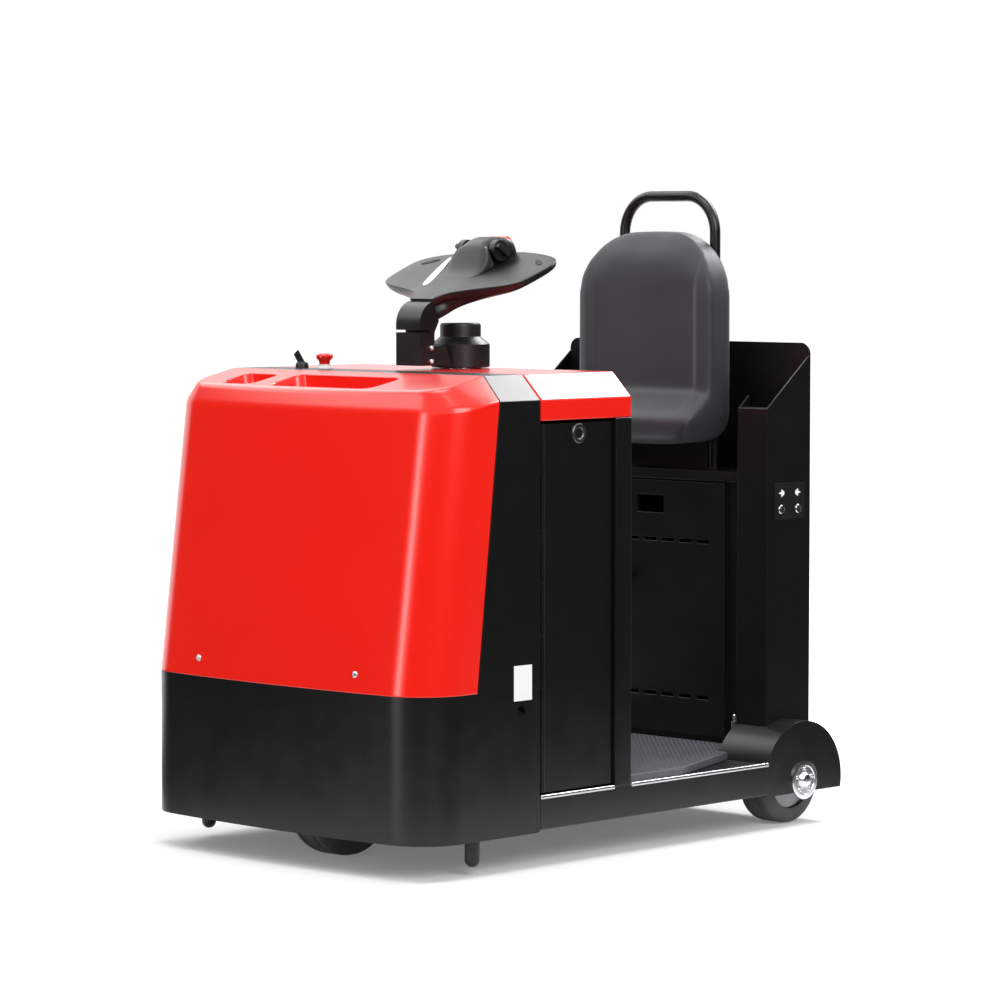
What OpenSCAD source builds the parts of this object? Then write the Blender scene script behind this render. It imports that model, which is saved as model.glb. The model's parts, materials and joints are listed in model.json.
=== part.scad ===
// Stand-on electric baggage tug with three wheels, in millimetres.
// Front is -Y, the vehicle's left is +X, the floor is z = 0.

/* [Overall] */
// Length from the bowed front to the end of the tow jaw
overall_len = 1264; // [1200:2:1400]
// Width over the frame and the wheel arches
body_w = 780; // [720:2:860]
// Height of the deck over hood, hoop and battery cover
deck_h = 922; // [900:1:980]
// Gap between the floor and the front frame
ground_gap = 66; // [50:1:80]

/* [Front frame] */
// Thickness of the welded frame plates
plate_t = 10; // [8:0.5:14]
// Length from the bowed front to the door jamb
front_len = 323; // [300:1:350]
// Radius of the front corners in plan
corner_r = 100; // [70:1:130]
// Radius of the shallow bow across the front
bow_r = 3200; // [2000:50:6000]
// Height where the black skirt ends and the hood begins
skirt_top = 340; // [300:1:400]
// Height of the chamfer along the deck's sides
chamfer_h = 47; // [30:1:70]
// How far the side chamfer runs inwards
chamfer_w = 48; // [30:1:60]
// Distance from the front to the hood seam at the skirt
seam_low_at = 156; // [140:1:180]
// Distance from the front to the hood seam at the shoulder
seam_high_at = 215; // [190:1:240]
// Depth of the flange round the door opening
jamb_w = 34; // [28:1:45]
// Diameter of the lifting hole in each side
lift_hole_d = 20; // [14:1:26]
// Height of the lifting holes
lift_hole_h = 298; // [250:1:320]

/* [Hood] */
// Wall of the hood and of the covers
sheet_t = 4; // [3:0.5:6]
// How far the hood's face leans back at its top
hood_lean = 72; // [40:1:90]
// How far the top of the hood's face lies below the deck
face_drop = 60; // [50:1:80]
// How far the front rim of the tray lies below the deck
rim_drop = 29; // [17:1:40]
// Distance from the front to the tray rim
rim_at = 84; // [78:1:95]
// Depth of the tray below its rim
tray_depth = 27; // [20:1:40]
// Depth of the small pocket beside the tray
pocket_depth = 19; // [12:1:30]

/* [Battery bay] */
// Length of the battery cover and its bay
bay_len = 253; // [220:1:290]
// Width of the door post along the vehicle
post_len = 45; // [35:1:60]
// How far the battery cover's lip reaches down from the deck
lip_drop = 86; // [72:1:120]
// Thickness of the battery doors
door_t = 20; // [14:1:26]
// How far the doors lie inside the frame's side
door_recess = 6; // [4:0.5:10]
// Height of the battery block
battery_h = 560; // [400:5:680]
// Diameter of the round door lock
lock_d = 38; // [28:1:46]

/* [Platform] */
// Height of the sill's top
sill_h = 133; // [120:1:145]
// Width of the box sills
sill_w = 50; // [40:1:60]
// Thickness of the rubber mat
mat_t = 17; // [12:1:26]

/* [Rear body] */
// Depth of the rear body along the vehicle
rear_depth = 135; // [120:1:150]
// How far the rear body's side plates lie inside the frame's side
rear_inset = 60; // [40:1:80]
// Width of the rear body's columns
column_w = 78; // [70:1:90]
// Height of the side plates at the columns
side_low = 835; // [780:1:860]
// Height of the back plate
side_high = 965; // [900:1:990]
// Height of the shelf behind the seat
shelf_h = 700; // [640:1:720]

/* [Rear wheels] */
// Diameter of the rear tyres
rear_wheel_d = 180; // [160:1:196]
// Width of the rear tyres
rear_wheel_w = 70; // [50:1:80]
// Distance from the back plate to the rear axle
rear_axle_in = 83; // [75:1:95]
// Outer radius of the wheel arches
arch_r = 119; // [114:1:124]
// Width of the wheel arches
arch_w = 133; // [120:1:145]
// Diameter of the rear axles
rear_axle_d = 25; // [20:1:32]
// Diameter of the bright axle caps
cap_d = 77; // [60:1:90]

/* [Drive unit] */
// Diameter of the drive tyre
drive_wheel_d = 230; // [210:1:250]
// Width of the drive tyre
drive_wheel_w = 75; // [60:1:90]
// Distance from the front to the drive axle
drive_at = 182; // [176:1:190]
// Height of the deck plate that carries the drive unit
drive_deck_h = 300; // [290:1:320]
// Diameter of the turning collar
collar_d = 190; // [160:1:220]
// Diameter of the drive motor
motor_d = 168; // [130:1:190]
// Height of the drive motor
motor_h = 230; // [160:2:300]

/* [Seat] */
// Width of the lean seat
seat_w = 364; // [280:2:400]
// Thickness of the lean seat's back
seat_t = 72; // [50:1:80]
// Height of the lean seat's lower edge
seat_low = 755; // [735:1:790]
// Height of the lean seat's top
seat_high = 1190; // [1120:1:1215]
// How far the perch stands out from the back
perch_out = 66; // [40:1:90]
// Diameter of the grab loop's tube
loop_d = 22; // [18:1:32]
// Width over the grab loop
loop_w = 270; // [250:1:310]
// Height of the grab loop's top
loop_top = 1273; // [1240:1:1320]

/* [Steering] */
// Distance from the front to the steering axis
steer_at = 507; // [490:1:520]
// Diameter of the steering boss
boss_d = 115; // [100:1:125]
// Diameter of the boss's upper part
boss_cap_d = 79; // [60:1:90]
// Height of the boss
boss_h = 82; // [70:1:95]
// Width of the steering arm
arm_w = 55; // [44:1:66]
// Width over the steering head
head_w = 380; // [340:2:420]
// Length of the steering head along the vehicle
head_len = 224; // [200:1:240]
// Height of the steering head's nose above the deck
head_up = 137; // [120:1:150]
// Rise of the steering head per unit of its length
head_rise_share = 0.40; // [0.2:0.01:0.5]
// Thickness of the steering head's wings
head_t = 20; // [14:1:28]

/* [Tow coupling] */
// Diameter of the tow pin
pin_d = 25; // [18:1:32]
// Height of the middle of the tow jaw
jaw_h = 320; // [280:1:360]
// Clear height of the tow jaw
jaw_gap = 50; // [36:1:70]
// Width of the tow jaw
jaw_w = 96; // [80:1:120]
// Distance from the back plate to the end of the tow jaw
jaw_out = 84; // [70:1:110]

/* [Hidden] */
$fn = 96;

// Colours
red = [0.86, 0.06, 0.01];
black = [0.13, 0.13, 0.13];
rubber = [0.08, 0.08, 0.08];
steel = [0.70, 0.71, 0.73];
mat_grey = [0.30, 0.33, 0.38];
seat_grey = [0.24, 0.24, 0.27];

// How far the sills and the belly pan lie above the skirt's lower edge
sill_rise = 4;

// Clearances that many pieces share
overrun = 20;
run_gap = 0.05;
seat_gap = 0.3;
move_gap = 6;
seam_gap = 2;
slice_t = 1;
arc_steps = 16;
bow_steps = 12;

// Places along the vehicle
front_y = -overall_len/2;
jamb_y = front_y + front_len;
bay_rear_y = jamb_y + bay_len;
post_y = bay_rear_y - post_len;
tail_y = overall_len/2;
rear_y = tail_y - jaw_out;
column_y = rear_y - rear_depth;
axle_y = rear_y - rear_axle_in;
drive_y = front_y + drive_at;
steer_y = front_y + steer_at;

// Derived heights and widths
half_w = body_w/2;
sill_low = ground_gap + sill_rise;
mat_top = sill_h + mat_t;
axle_z = rear_wheel_d/2;
drive_z = drive_wheel_d/2;
shoulder_h = deck_h - chamfer_h;
face_top = deck_h - face_drop;
rim_h = deck_h - rim_drop;
lip_h = deck_h - lip_drop;
head_low = deck_h + head_up;
rear_w = body_w - 2*rear_inset;
column_gap = rear_w - 2*column_w;
cap_t = 5;
arch_out = half_w - cap_t;
arch_in = arch_out - arch_w;
arch_mid = (arch_in + arch_out)/2;
arch_front_y = axle_y - arch_r;
chamfer_angle = atan(chamfer_w/chamfer_h);

// Points of a round corner about a centre, from one angle to another
function arc(centre, r, from, to) =
    [for (i = [0:arc_steps]) let (a = from + (to - from)*i/arc_steps)
        [centre.x + r*cos(a), centre.y + r*sin(a)]];

// Plan of the bowed front, moved in by inset and back by shift, out to a straight rear edge
function front_points(inset, shift, rear) = let (
    bow_y = front_y + bow_r + shift,
    corner_x = half_w - corner_r,
    corner_y = bow_y - sqrt(pow(bow_r - corner_r, 2) - pow(corner_x, 2)),
    tilt = asin(corner_x/(bow_r - corner_r)))
    concat(
        [[-half_w + inset, rear]],
        arc([-corner_x, corner_y], corner_r - inset, 180, 270 - tilt),
        [for (i = [1:bow_steps - 1]) let (a = 270 - tilt + 2*tilt*i/bow_steps)
            [(bow_r - inset)*cos(a), bow_y + (bow_r - inset)*sin(a)]],
        arc([corner_x, corner_y], corner_r - inset, 270 + tilt, 360),
        [[half_w - inset, rear]]);

// Place of the leaning hood seam at a height
function seam_y(z) = front_y + seam_low_at
    + (seam_high_at - seam_low_at)*(z - skirt_top)/(shoulder_h - skirt_top);

// Cross-section of the body with chamfered upper corners, moved in by inset, from a height up
module body_section(inset, low) {
    side = half_w - inset;
    lower = shoulder_h - inset*tan(chamfer_angle/2);
    upper = half_w - chamfer_w - inset*tan((90 - chamfer_angle)/2);
    polygon([[-side, low], [side, low], [side, lower], [upper, deck_h - inset],
        [-upper, deck_h - inset], [-side, lower]]);
}

// A section drawn as (x, z) and drawn out from one y to another
module along_y(from, to) {
    translate([0, to, 0]) rotate([90, 0, 0]) linear_extrude(to - from) children();
}

// A profile drawn as (y, z) and drawn out along x, centred
module along_x(width) {
    rotate([90, 0, 90]) linear_extrude(width, center = true) children();
}

// A cylinder along x, centred
module rod_x(r, width) {
    rotate([0, 90, 0]) cylinder(r = r, h = width, center = true);
}

// Copies of the children on the left and, mirrored, on the right
module both_sides() {
    children();
    mirror([1, 0, 0]) children();
}

// Front skirt: the bowed wall round the drive wheel, with the lifting holes in its sides
lift_hole_back = 51;
module front_skirt() color(black) difference() {
    translate([0, 0, ground_gap]) linear_extrude(skirt_top - ground_gap) difference() {
        polygon(front_points(0, 0, jamb_y - plate_t));
        polygon(front_points(plate_t, 0, jamb_y + overrun));
    }
    translate([0, jamb_y - lift_hole_back, lift_hole_h]) rod_x(lift_hole_d/2, body_w + overrun);
}

// Front frame: side pillars with a leaning front edge, the hoop over them and the door jamb
module front_frame() color(black) {
    intersection() {
        along_y(front_y, jamb_y) difference() {
            body_section(0, skirt_top);
            body_section(plate_t, skirt_top - overrun);
        }
        along_x(body_w) polygon([[seam_y(skirt_top), skirt_top], [jamb_y, skirt_top],
            [jamb_y, deck_h], [seam_y(deck_h), deck_h]]);
    }
    along_y(jamb_y - plate_t, jamb_y) difference() {
        body_section(0, ground_gap);
        body_section(jamb_w, ground_gap - overrun);
    }
}

// Box sills beside the battery bay and the platform
module side_sills() color(black) both_sides() difference() {
    translate([half_w - sill_w, jamb_y, sill_low]) cube([sill_w, axle_y - jamb_y, sill_h - sill_low]);
    translate([half_w, axle_y, axle_z]) rod_x(arch_r + seat_gap, 2*sill_w + overrun);
}

// Bottom plate that closes the frame between the sills
pan_t = 8;
module belly_pan() color(black) translate([-half_w + sill_w, jamb_y, sill_low])
    cube([body_w - 2*sill_w, arch_front_y - jamb_y, pan_t]);

// Deck plate across the skirt, bored for the drive unit's turning collar
module drive_deck() color(black) difference() {
    translate([0, 0, drive_deck_h - plate_t]) linear_extrude(plate_t)
        polygon(front_points(plate_t, 0, jamb_y - plate_t));
    translate([0, drive_y, drive_deck_h - plate_t - overrun])
        cylinder(d = collar_d, h = plate_t + 2*overrun);
}

// Door posts and the wall between battery and operator
module bay_frame() color(black) {
    both_sides() translate([half_w - jamb_w, post_y, sill_h]) cube([jamb_w, post_len, lip_h - sill_h]);
    translate([-half_w, bay_rear_y - plate_t, sill_h]) cube([body_w, plate_t, lip_h - sill_h]);
}

// Battery, one plain block on the floor plate, with the gaps between its cells
battery_room = 14;
cell_rows = 6;
cell_groove = 6;
module battery() color(black) {
    width = body_w - 2*(door_recess + door_t + battery_room);
    length = bay_len - plate_t - 2*battery_room;
    translate([-width/2, jamb_y + battery_room, sill_h]) difference() {
        cube([width, length, battery_h]);
        for (i = [1:cell_rows - 1])
            translate([width*i/cell_rows - cell_groove/2, -overrun, battery_h - cell_groove])
                cube([cell_groove, length + 2*overrun, cell_groove + overrun]);
    }
}

// Hood: a leaning moulded shell with a tray and a pocket in its top. The shares place the
// scoops' ends across the flat of the top
hood_rear_y = seam_y(deck_h) - seam_gap;
face_at = front_y + hood_lean;
face_run = seam_y(shoulder_h) - seam_gap - face_at;
face_tilt = atan((shoulder_h - face_top)/face_run);
top_tilt = atan((deck_h - rim_h)/(hood_rear_y - front_y - rim_at));
top_rear_y = front_y + rim_at + (hood_rear_y - front_y - rim_at)/cos(top_tilt);
tray_rim = 7;
tray_slope = 12;
tray_back = 22;
tray_shares = [-0.40, 0.60];
pocket_shares = [-0.83, -0.46];
tray_end_slopes = [30, 60];
pocket_end_slopes = [34, 14];
module hood_form(inset, low, rear_more) hull() {
    translate([0, 0, low]) linear_extrude(slice_t)
        polygon(front_points(inset, 0, seam_y(low) - seam_gap + rear_more));
    translate([0, face_at, face_top - inset]) rotate([face_tilt, 0, 0])
        translate([0, -face_at, -slice_t]) linear_extrude(slice_t)
            polygon(front_points(inset, hood_lean, face_at + face_run/cos(face_tilt) + rear_more));
    translate([0, front_y + rim_at, rim_h - inset]) rotate([top_tilt, 0, 0])
        translate([0, -front_y - rim_at, -slice_t]) linear_extrude(slice_t)
            polygon(front_points(chamfer_w + inset, rim_at - chamfer_w, top_rear_y + rear_more));
}
module scoop(shares, end_slopes, depth, grow) {
    front = front_y + rim_at + tray_rim - grow;
    back = hood_rear_y - tray_back + grow;
    left = shares[0]*(half_w - chamfer_w) - grow;
    right = shares[1]*(half_w - chamfer_w) + grow;
    floor_z = rim_h - depth - grow;
    top = deck_h + overrun;
    intersection() {
        along_x(body_w) polygon([[front + tray_slope, floor_z], [back - tray_slope, floor_z],
            [back, top], [front, top]]);
        along_y(front, back) polygon([[left + end_slopes[0], floor_z],
            [right - end_slopes[1], floor_z], [right, top], [left, top]]);
    }
}
module tray_form(grow) {
    scoop(tray_shares, tray_end_slopes, tray_depth, grow);
    scoop(pocket_shares, pocket_end_slopes, pocket_depth, grow);
}
module hood() color(red) difference() {
    hood_form(0, skirt_top, 0);
    difference() {
        hood_form(sheet_t, skirt_top - overrun, overrun);
        tray_form(sheet_t);
    }
    tray_form(0);
}

// Battery cover: a chamfered sheet lid over the bay, closed towards the operator
module battery_cover() color(red) {
    along_y(jamb_y + seam_gap, bay_rear_y) difference() {
        body_section(0, lip_h);
        body_section(sheet_t, lip_h - overrun);
    }
    along_y(bay_rear_y - sheet_t, bay_rear_y) body_section(0, lip_h);
}

// Piano hinges at the front edge of the battery doors
hinge_r = 5;
hinge_pin_r = 2.5;
hinge_parts = 7;
hinge_split = 1;
hinge_x = half_w - door_recess;
hinge_y = jamb_y + move_gap + hinge_r;
door_low = sill_h + move_gap;
door_high = lip_h - move_gap;
knuckle_h = (door_high - door_low)/hinge_parts;
module knuckles(first, r) for (i = [first:2:hinge_parts - 1])
    translate([hinge_x, hinge_y, door_low + i*knuckle_h + hinge_split/2])
        cylinder(r = r, h = knuckle_h - hinge_split);
module door_hinges() color(steel) both_sides() {
    knuckles(0, hinge_r);
    translate([hinge_x, hinge_y, door_low]) cylinder(r = hinge_pin_r, h = door_high - door_low);
    for (i = [0:2:hinge_parts - 1])
        translate([hinge_x - hinge_r, jamb_y, door_low + i*knuckle_h + hinge_split/2])
            cube([hinge_r, hinge_y - jamb_y, knuckle_h - hinge_split]);
}

// Battery door on the left, with its own knuckles; the right one is its mirror
module door_form() difference() {
    union() {
        translate([hinge_x - door_t, hinge_y + move_gap, door_low])
            cube([door_t, post_y - move_gap - hinge_y - move_gap, door_high - door_low]);
        knuckles(1, hinge_r);
        for (i = [1:2:hinge_parts - 1])
            translate([hinge_x - hinge_r, hinge_y, door_low + i*knuckle_h + hinge_split/2])
                cube([hinge_r, 2*move_gap, knuckle_h - hinge_split]);
    }
    translate([hinge_x, hinge_y, door_low - overrun])
        cylinder(r = hinge_pin_r + run_gap, h = door_high - door_low + 2*overrun);
}
module left_door() color(black) door_form();
module right_door() color(black) mirror([1, 0, 0]) door_form();

// Round key lock on each door
lock_out = 4;
lock_below = 26;
lock_slot_share = 0.12;
lock_y = (hinge_y + post_y)/2;
module lock_form() translate([hinge_x + lock_out/2, lock_y, lip_h - lock_below]) {
    difference() {
        rod_x(lock_d/2, lock_out);
        translate([lock_out/2, 0, 0]) cube([lock_out, lock_d*lock_slot_share, lock_d/2], center = true);
    }
}
module left_lock() color(steel) lock_form();
module right_lock() color(steel) mirror([1, 0, 0]) lock_form();

// Steel floor plate between the sills, under the battery and the platform
floor_t = 6;
panel_recess = 27;
panel_y = column_y + panel_recess;
module floor_plate() color(black)
    translate([-half_w + sill_w, jamb_y, sill_h - floor_t])
        cube([body_w - 2*sill_w, arch_front_y - jamb_y, floor_t]);

// Rubber mat over the platform, with cut corners, narrowed between the wheel arches
mat_edge = 5;
mat_room = 3;
mat_bend = 152;
mat_corner = 95;
function mat_half() = let (side = half_w - mat_edge, inner = arch_in - mat_room,
    end_y = arch_front_y - mat_room) [
    [side, bay_rear_y], [side, bay_rear_y + mat_bend], [max(side - mat_corner, inner), end_y],
    [inner, end_y], [inner, panel_y]];
module floor_mat() color(mat_grey) translate([0, 0, sill_h]) linear_extrude(mat_t) {
    half = mat_half();
    polygon(concat(half, [for (i = [len(half) - 1:-1:0]) [-half[i].x, half[i].y]]));
}

// Wheel arch: a rolled half tunnel with an outer and an inner plate for the axle
arch_t = 4;
arch_plate_t = 8;
module arch_form() difference() {
    translate([arch_mid, axle_y, axle_z]) rod_x(arch_r, arch_w);
    translate([arch_mid, axle_y, axle_z]) rod_x(arch_r - arch_t, arch_w - 2*arch_plate_t);
    translate([arch_in - overrun, axle_y - arch_r - overrun, ground_gap - arch_r])
        cube([arch_w + 2*overrun, 2*(arch_r + overrun), arch_r]);
    translate([arch_mid, axle_y, axle_z]) rod_x(rear_axle_d/2 + run_gap, arch_w + overrun);
}
module left_arch() color(black) arch_form();
module right_arch() color(black) mirror([1, 0, 0]) arch_form();

// Rear body: side plates cut to a sloping top, columns and a back plate with round corners
return_d = 31;
back_corner_r = 22;
side_top = side_high - back_corner_r;
side_slope = (side_top - side_low)/rear_depth;
function rear_half() = let (side = rear_w/2, post = column_gap/2) [
    [side, rear_y], [side, column_y], [post, column_y], [post, column_y + return_d],
    [post + sheet_t, column_y + return_d], [post + sheet_t, column_y + sheet_t],
    [side - sheet_t, column_y + sheet_t], [side - sheet_t, rear_y - sheet_t]];
module rear_plan() {
    half = rear_half();
    polygon(concat(half, [for (i = [len(half) - 1:-1:0]) [-half[i].x, half[i].y]]));
}
module rear_shell() color(black) difference() {
    translate([0, 0, sill_low]) linear_extrude(side_high - sill_low) rear_plan();
    along_x(body_w) polygon([[column_y - overrun, side_low - overrun*side_slope],
        [rear_y - sheet_t, side_top - sheet_t*side_slope], [rear_y - sheet_t, side_high + overrun],
        [column_y - overrun, side_high + overrun]]);
    both_sides() along_y(rear_y - rear_depth, rear_y + overrun) polygon(concat(
        [[rear_w/2 - back_corner_r, side_high + overrun]],
        arc([rear_w/2 - back_corner_r, side_top], back_corner_r, 90, 0),
        [[rear_w/2 + overrun, side_top], [rear_w/2 + overrun, side_high + overrun]]));
    both_sides() arch_room();
}
// Room that the rear body leaves for an arch
module arch_room() {
    width = half_w - arch_in + overrun;
    room_r = arch_r + seat_gap;
    translate([arch_in + width/2, axle_y, axle_z]) rod_x(room_r, width);
    translate([arch_in, axle_y - room_r, axle_z - room_r]) cube([width, 2*room_r, room_r]);
}

// Shelf behind the seat, the floor of the open pocket
shelf_t = 4;
module rear_shelf() color(black)
    translate([-rear_w/2 + sheet_t, panel_y + sheet_t, shelf_h])
        cube([rear_w - 2*sheet_t, rear_y - sheet_t - panel_y - sheet_t, shelf_t]);

// Bolted panel under the seat, with a grip slot and two rows of vents
pan_margin = 49;
pan_w = column_gap - 2*pan_margin;
pan_out = 8;
pan_low = 12;
panel_lip = 12;
lip_t = 20;
slot_w = 74;
slot_h = 36;
slot_z = 631;
vent_w = 34;
vent_h = 7;
vent_step = 48;
vent_edge = 35;
vent_count = floor((pan_w - 2*vent_edge)/vent_step);
vent_zs = [236, 555];
module rear_panel() color(black) difference() {
    union() {
        translate([-column_gap/2, panel_y, mat_top])
            cube([column_gap, sheet_t, shelf_h + shelf_t - mat_top]);
        translate([-pan_w/2, panel_y - pan_out, mat_top + pan_low])
            cube([pan_w, pan_out, shelf_h - lip_t - mat_top - pan_low]);
        translate([-column_gap/2, panel_y - panel_lip, shelf_h + shelf_t - lip_t])
            cube([column_gap, panel_lip, lip_t]);
    }
    translate([-slot_w/2, panel_y - overrun, slot_z - slot_h/2]) cube([slot_w, 2*overrun, slot_h]);
    for (z = vent_zs, i = [0:vent_count - 1])
        translate([(i - (vent_count - 1)/2)*vent_step - vent_w/2, panel_y - overrun, z])
            cube([vent_w, 2*overrun, vent_h]);
}

// Box beam between the wheel arches, behind the platform
module rear_crossmember() color(black)
    translate([-arch_in, arch_front_y, sill_low])
        cube([2*arch_in, rear_y - sheet_t - arch_front_y, sill_h - sill_low]);

// Rear axle with its bright outer cap
module axle_form() translate([0, axle_y, axle_z]) {
    translate([arch_mid, 0, 0]) rod_x(rear_axle_d/2, arch_w);
    translate([arch_out + cap_t/2, 0, 0]) rod_x(cap_d/2, cap_t);
}
module left_axle() color(steel) axle_form();
module right_axle() color(steel) mirror([1, 0, 0]) axle_form();

// Wheel profiles: a hub disc with a bored boss, and a tyre with bevelled shoulders
module hub_form(rim_r, rim_w, boss_r, boss_w, bore_r) rotate([0, 90, 0]) difference() {
    union() {
        cylinder(r = rim_r, h = rim_w, center = true);
        cylinder(r = boss_r, h = boss_w, center = true);
    }
    cylinder(r = bore_r, h = boss_w + rim_w, center = true);
}
module tyre_form(outer_r, inner_r, width, bevel) rotate([0, 90, 0]) rotate_extrude()
    polygon([[inner_r, -width/2], [outer_r - bevel, -width/2], [outer_r, -width/2 + bevel],
        [outer_r, width/2 - bevel], [outer_r - bevel, width/2], [inner_r, width/2]]);

// Rear wheels on their axles
rear_tyre_t = 30;
rear_hub_inset = 6;
rear_boss_r = 24;
rear_bevel = 7;
rear_boss_w = arch_w - 2*(arch_plate_t + seat_gap);
module rear_hub_form() translate([arch_mid, axle_y, axle_z])
    hub_form(rear_wheel_d/2 - rear_tyre_t, rear_wheel_w - 2*rear_hub_inset, rear_boss_r,
        rear_boss_w, rear_axle_d/2 + run_gap);
module rear_tyre_form() translate([arch_mid, axle_y, axle_z])
    tyre_form(rear_wheel_d/2, rear_wheel_d/2 - rear_tyre_t, rear_wheel_w, rear_bevel);
module left_hub() color(steel) rear_hub_form();
module left_tyre() color(rubber) rear_tyre_form();
module right_hub() color(steel) mirror([1, 0, 0]) rear_hub_form();
module right_tyre() color(rubber) mirror([1, 0, 0]) rear_tyre_form();

// Drive unit: a collar that turns in the deck, with a fork and a side gearbox round the wheel
fork_t = 12;
fork_l = 90;
crown_t = 18;
crown_low = drive_wheel_d + 2*move_gap;
crown_l = 130;
flange_w = 20;
flange_t = 10;
fork_in = drive_wheel_w/2 + move_gap;
fork_out = fork_in + fork_t;
gear_r = 72;
gear_w = 42;
drive_axle_d = 30;
fork_low = 22;
flange_low = drive_deck_h + seat_gap;
motor_cap_d = 84;
motor_cap_h = 21;
motor_groove = 8;
motor_groove_step = 22;
motor_groove_count = 5;
module drive_carrier() color(black) translate([0, drive_y, 0]) difference() {
    union() {
        translate([0, 0, crown_low]) cylinder(d = collar_d - 2*run_gap, h = flange_low - crown_low);
        translate([0, 0, flange_low]) cylinder(d = collar_d + 2*flange_w, h = flange_t);
        translate([-fork_out, -crown_l/2, crown_low]) cube([2*fork_out, crown_l, crown_t]);
        both_sides() translate([fork_in, -fork_l/2, drive_z - fork_low])
            cube([fork_t, fork_l, crown_low + crown_t - drive_z + fork_low]);
        translate([-fork_out - gear_w/2, 0, drive_z]) rod_x(gear_r, gear_w);
        translate([-fork_out - gear_w, -gear_r, drive_z])
            cube([gear_w, 2*gear_r, crown_low + crown_t - drive_z]);
    }
    translate([0, 0, drive_z]) rod_x(drive_axle_d/2 + run_gap, 2*fork_out + overrun);
}
module drive_motor() color(black) translate([0, drive_y, flange_low + flange_t]) difference() {
    union() {
        cylinder(d = motor_d, h = motor_h);
        cylinder(d = motor_cap_d, h = motor_h + motor_cap_h);
    }
    for (i = [0:motor_groove_count - 1])
        translate([0, 0, motor_h - motor_groove_step*(i + 1)]) difference() {
            cylinder(d = motor_d + overrun, h = motor_groove);
            cylinder(d = motor_d - 2*motor_groove, h = motor_groove);
        }
}
module drive_axle() color(steel) translate([0, drive_y, drive_z]) rod_x(drive_axle_d/2, 2*fork_out);
drive_tyre_t = 38;
drive_hub_inset = 8;
drive_boss_r = 32;
drive_bevel = 9;
module drive_hub() color(steel) translate([0, drive_y, drive_z])
    hub_form(drive_wheel_d/2 - drive_tyre_t, drive_wheel_w - 2*drive_hub_inset, drive_boss_r,
        2*(fork_in - seat_gap), drive_axle_d/2 + run_gap);
module drive_tyre() color(rubber) translate([0, drive_y, drive_z])
    tyre_form(drive_wheel_d/2, drive_wheel_d/2 - drive_tyre_t, drive_wheel_w, drive_bevel);

// Lean seat: a rounded back with a forward perch at its lower edge
loop_back = 58;
loop_y = rear_y - loop_back;
seat_back_y = loop_y - loop_d/2 - seat_gap;
seat_front_y = seat_back_y - seat_t;
seat_top_r = 135;
seat_low_r = 60;
perch_top = 103;
perch_edge = 46;
perch_under = 16;
module seat_cushion() color(seat_grey) intersection() {
    along_x(seat_w) polygon([[seat_back_y, seat_low], [seat_back_y, seat_high],
        [seat_front_y, seat_high], [seat_front_y, seat_low + perch_top],
        [seat_front_y - perch_out, seat_low + perch_edge],
        [seat_front_y - perch_out, seat_low + perch_under],
        [seat_front_y - perch_out + perch_under, seat_low]]);
    along_y(seat_front_y - perch_out, seat_back_y) polygon(concat(
        arc([seat_w/2 - seat_top_r, seat_high - seat_top_r], seat_top_r, 0, 90),
        arc([-seat_w/2 + seat_top_r, seat_high - seat_top_r], seat_top_r, 90, 180),
        arc([-seat_w/2 + seat_low_r, seat_low + seat_low_r], seat_low_r, 180, 270),
        arc([seat_w/2 - seat_low_r, seat_low + seat_low_r], seat_low_r, 270, 360)));
}

// Plate that holds the seat, standing on the shelf
seat_plate_t = 6;
seat_plate_top = 110;
module seat_plate() color(black)
    translate([-loop_w/2 + loop_d + seat_gap, seat_back_y + seat_gap, shelf_h + shelf_t])
        cube([loop_w - 2*loop_d - 2*seat_gap, seat_plate_t, seat_high - seat_plate_top - shelf_h - shelf_t]);

// Grab loop: a bent tube behind the seat, standing on the shelf
bend_r = 75;
module grab_loop() color(black) translate([0, loop_y, 0]) {
    leg_x = loop_w/2 - loop_d/2;
    bend_z = loop_top - loop_d/2 - bend_r;
    both_sides() {
        translate([leg_x, 0, shelf_h + shelf_t]) cylinder(d = loop_d, h = bend_z - shelf_h - shelf_t);
        translate([leg_x - bend_r, 0, bend_z]) rotate([90, 0, 0]) rotate_extrude(angle = 90)
            translate([bend_r, 0]) circle(d = loop_d);
    }
    translate([0, 0, bend_z + bend_r]) rod_x(loop_d/2, 2*(leg_x - bend_r));
}

// Steering: a spindle on the battery cover, and the boss that turns on it
spindle_d = 28;
spindle_h = 60;
base_d = 84;
base_h = 6;
boss_z = deck_h + base_h + seat_gap;
boss_step_share = 0.5;
boss_neck_share = 0.68;
boss_edge = 4;
module steering_spindle() color(steel) translate([0, steer_y, deck_h]) {
    cylinder(d = base_d, h = base_h);
    cylinder(d = spindle_d, h = spindle_h);
}
module steering_boss() color(black) translate([0, steer_y, boss_z]) rotate_extrude() polygon([
    [spindle_d/2 + run_gap, 0], [boss_d/2, 0], [boss_d/2, boss_h*boss_step_share],
    [boss_cap_d/2, boss_h*boss_neck_share], [boss_cap_d/2, boss_h - boss_edge],
    [boss_cap_d/2 - boss_edge, boss_h], [0, boss_h], [0, spindle_h], [spindle_d/2 + run_gap, spindle_h]]);

// Steering head's own frame: origin at the nose, y along the tilted top, z square to it
head_ahead = 109;
head_tilt = atan(head_rise_share);
head_slope_len = head_len/cos(head_tilt);
nose_y = steer_y - head_ahead;
module in_head() translate([0, nose_y, head_low]) rotate([head_tilt, 0, 0]) children();

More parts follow.
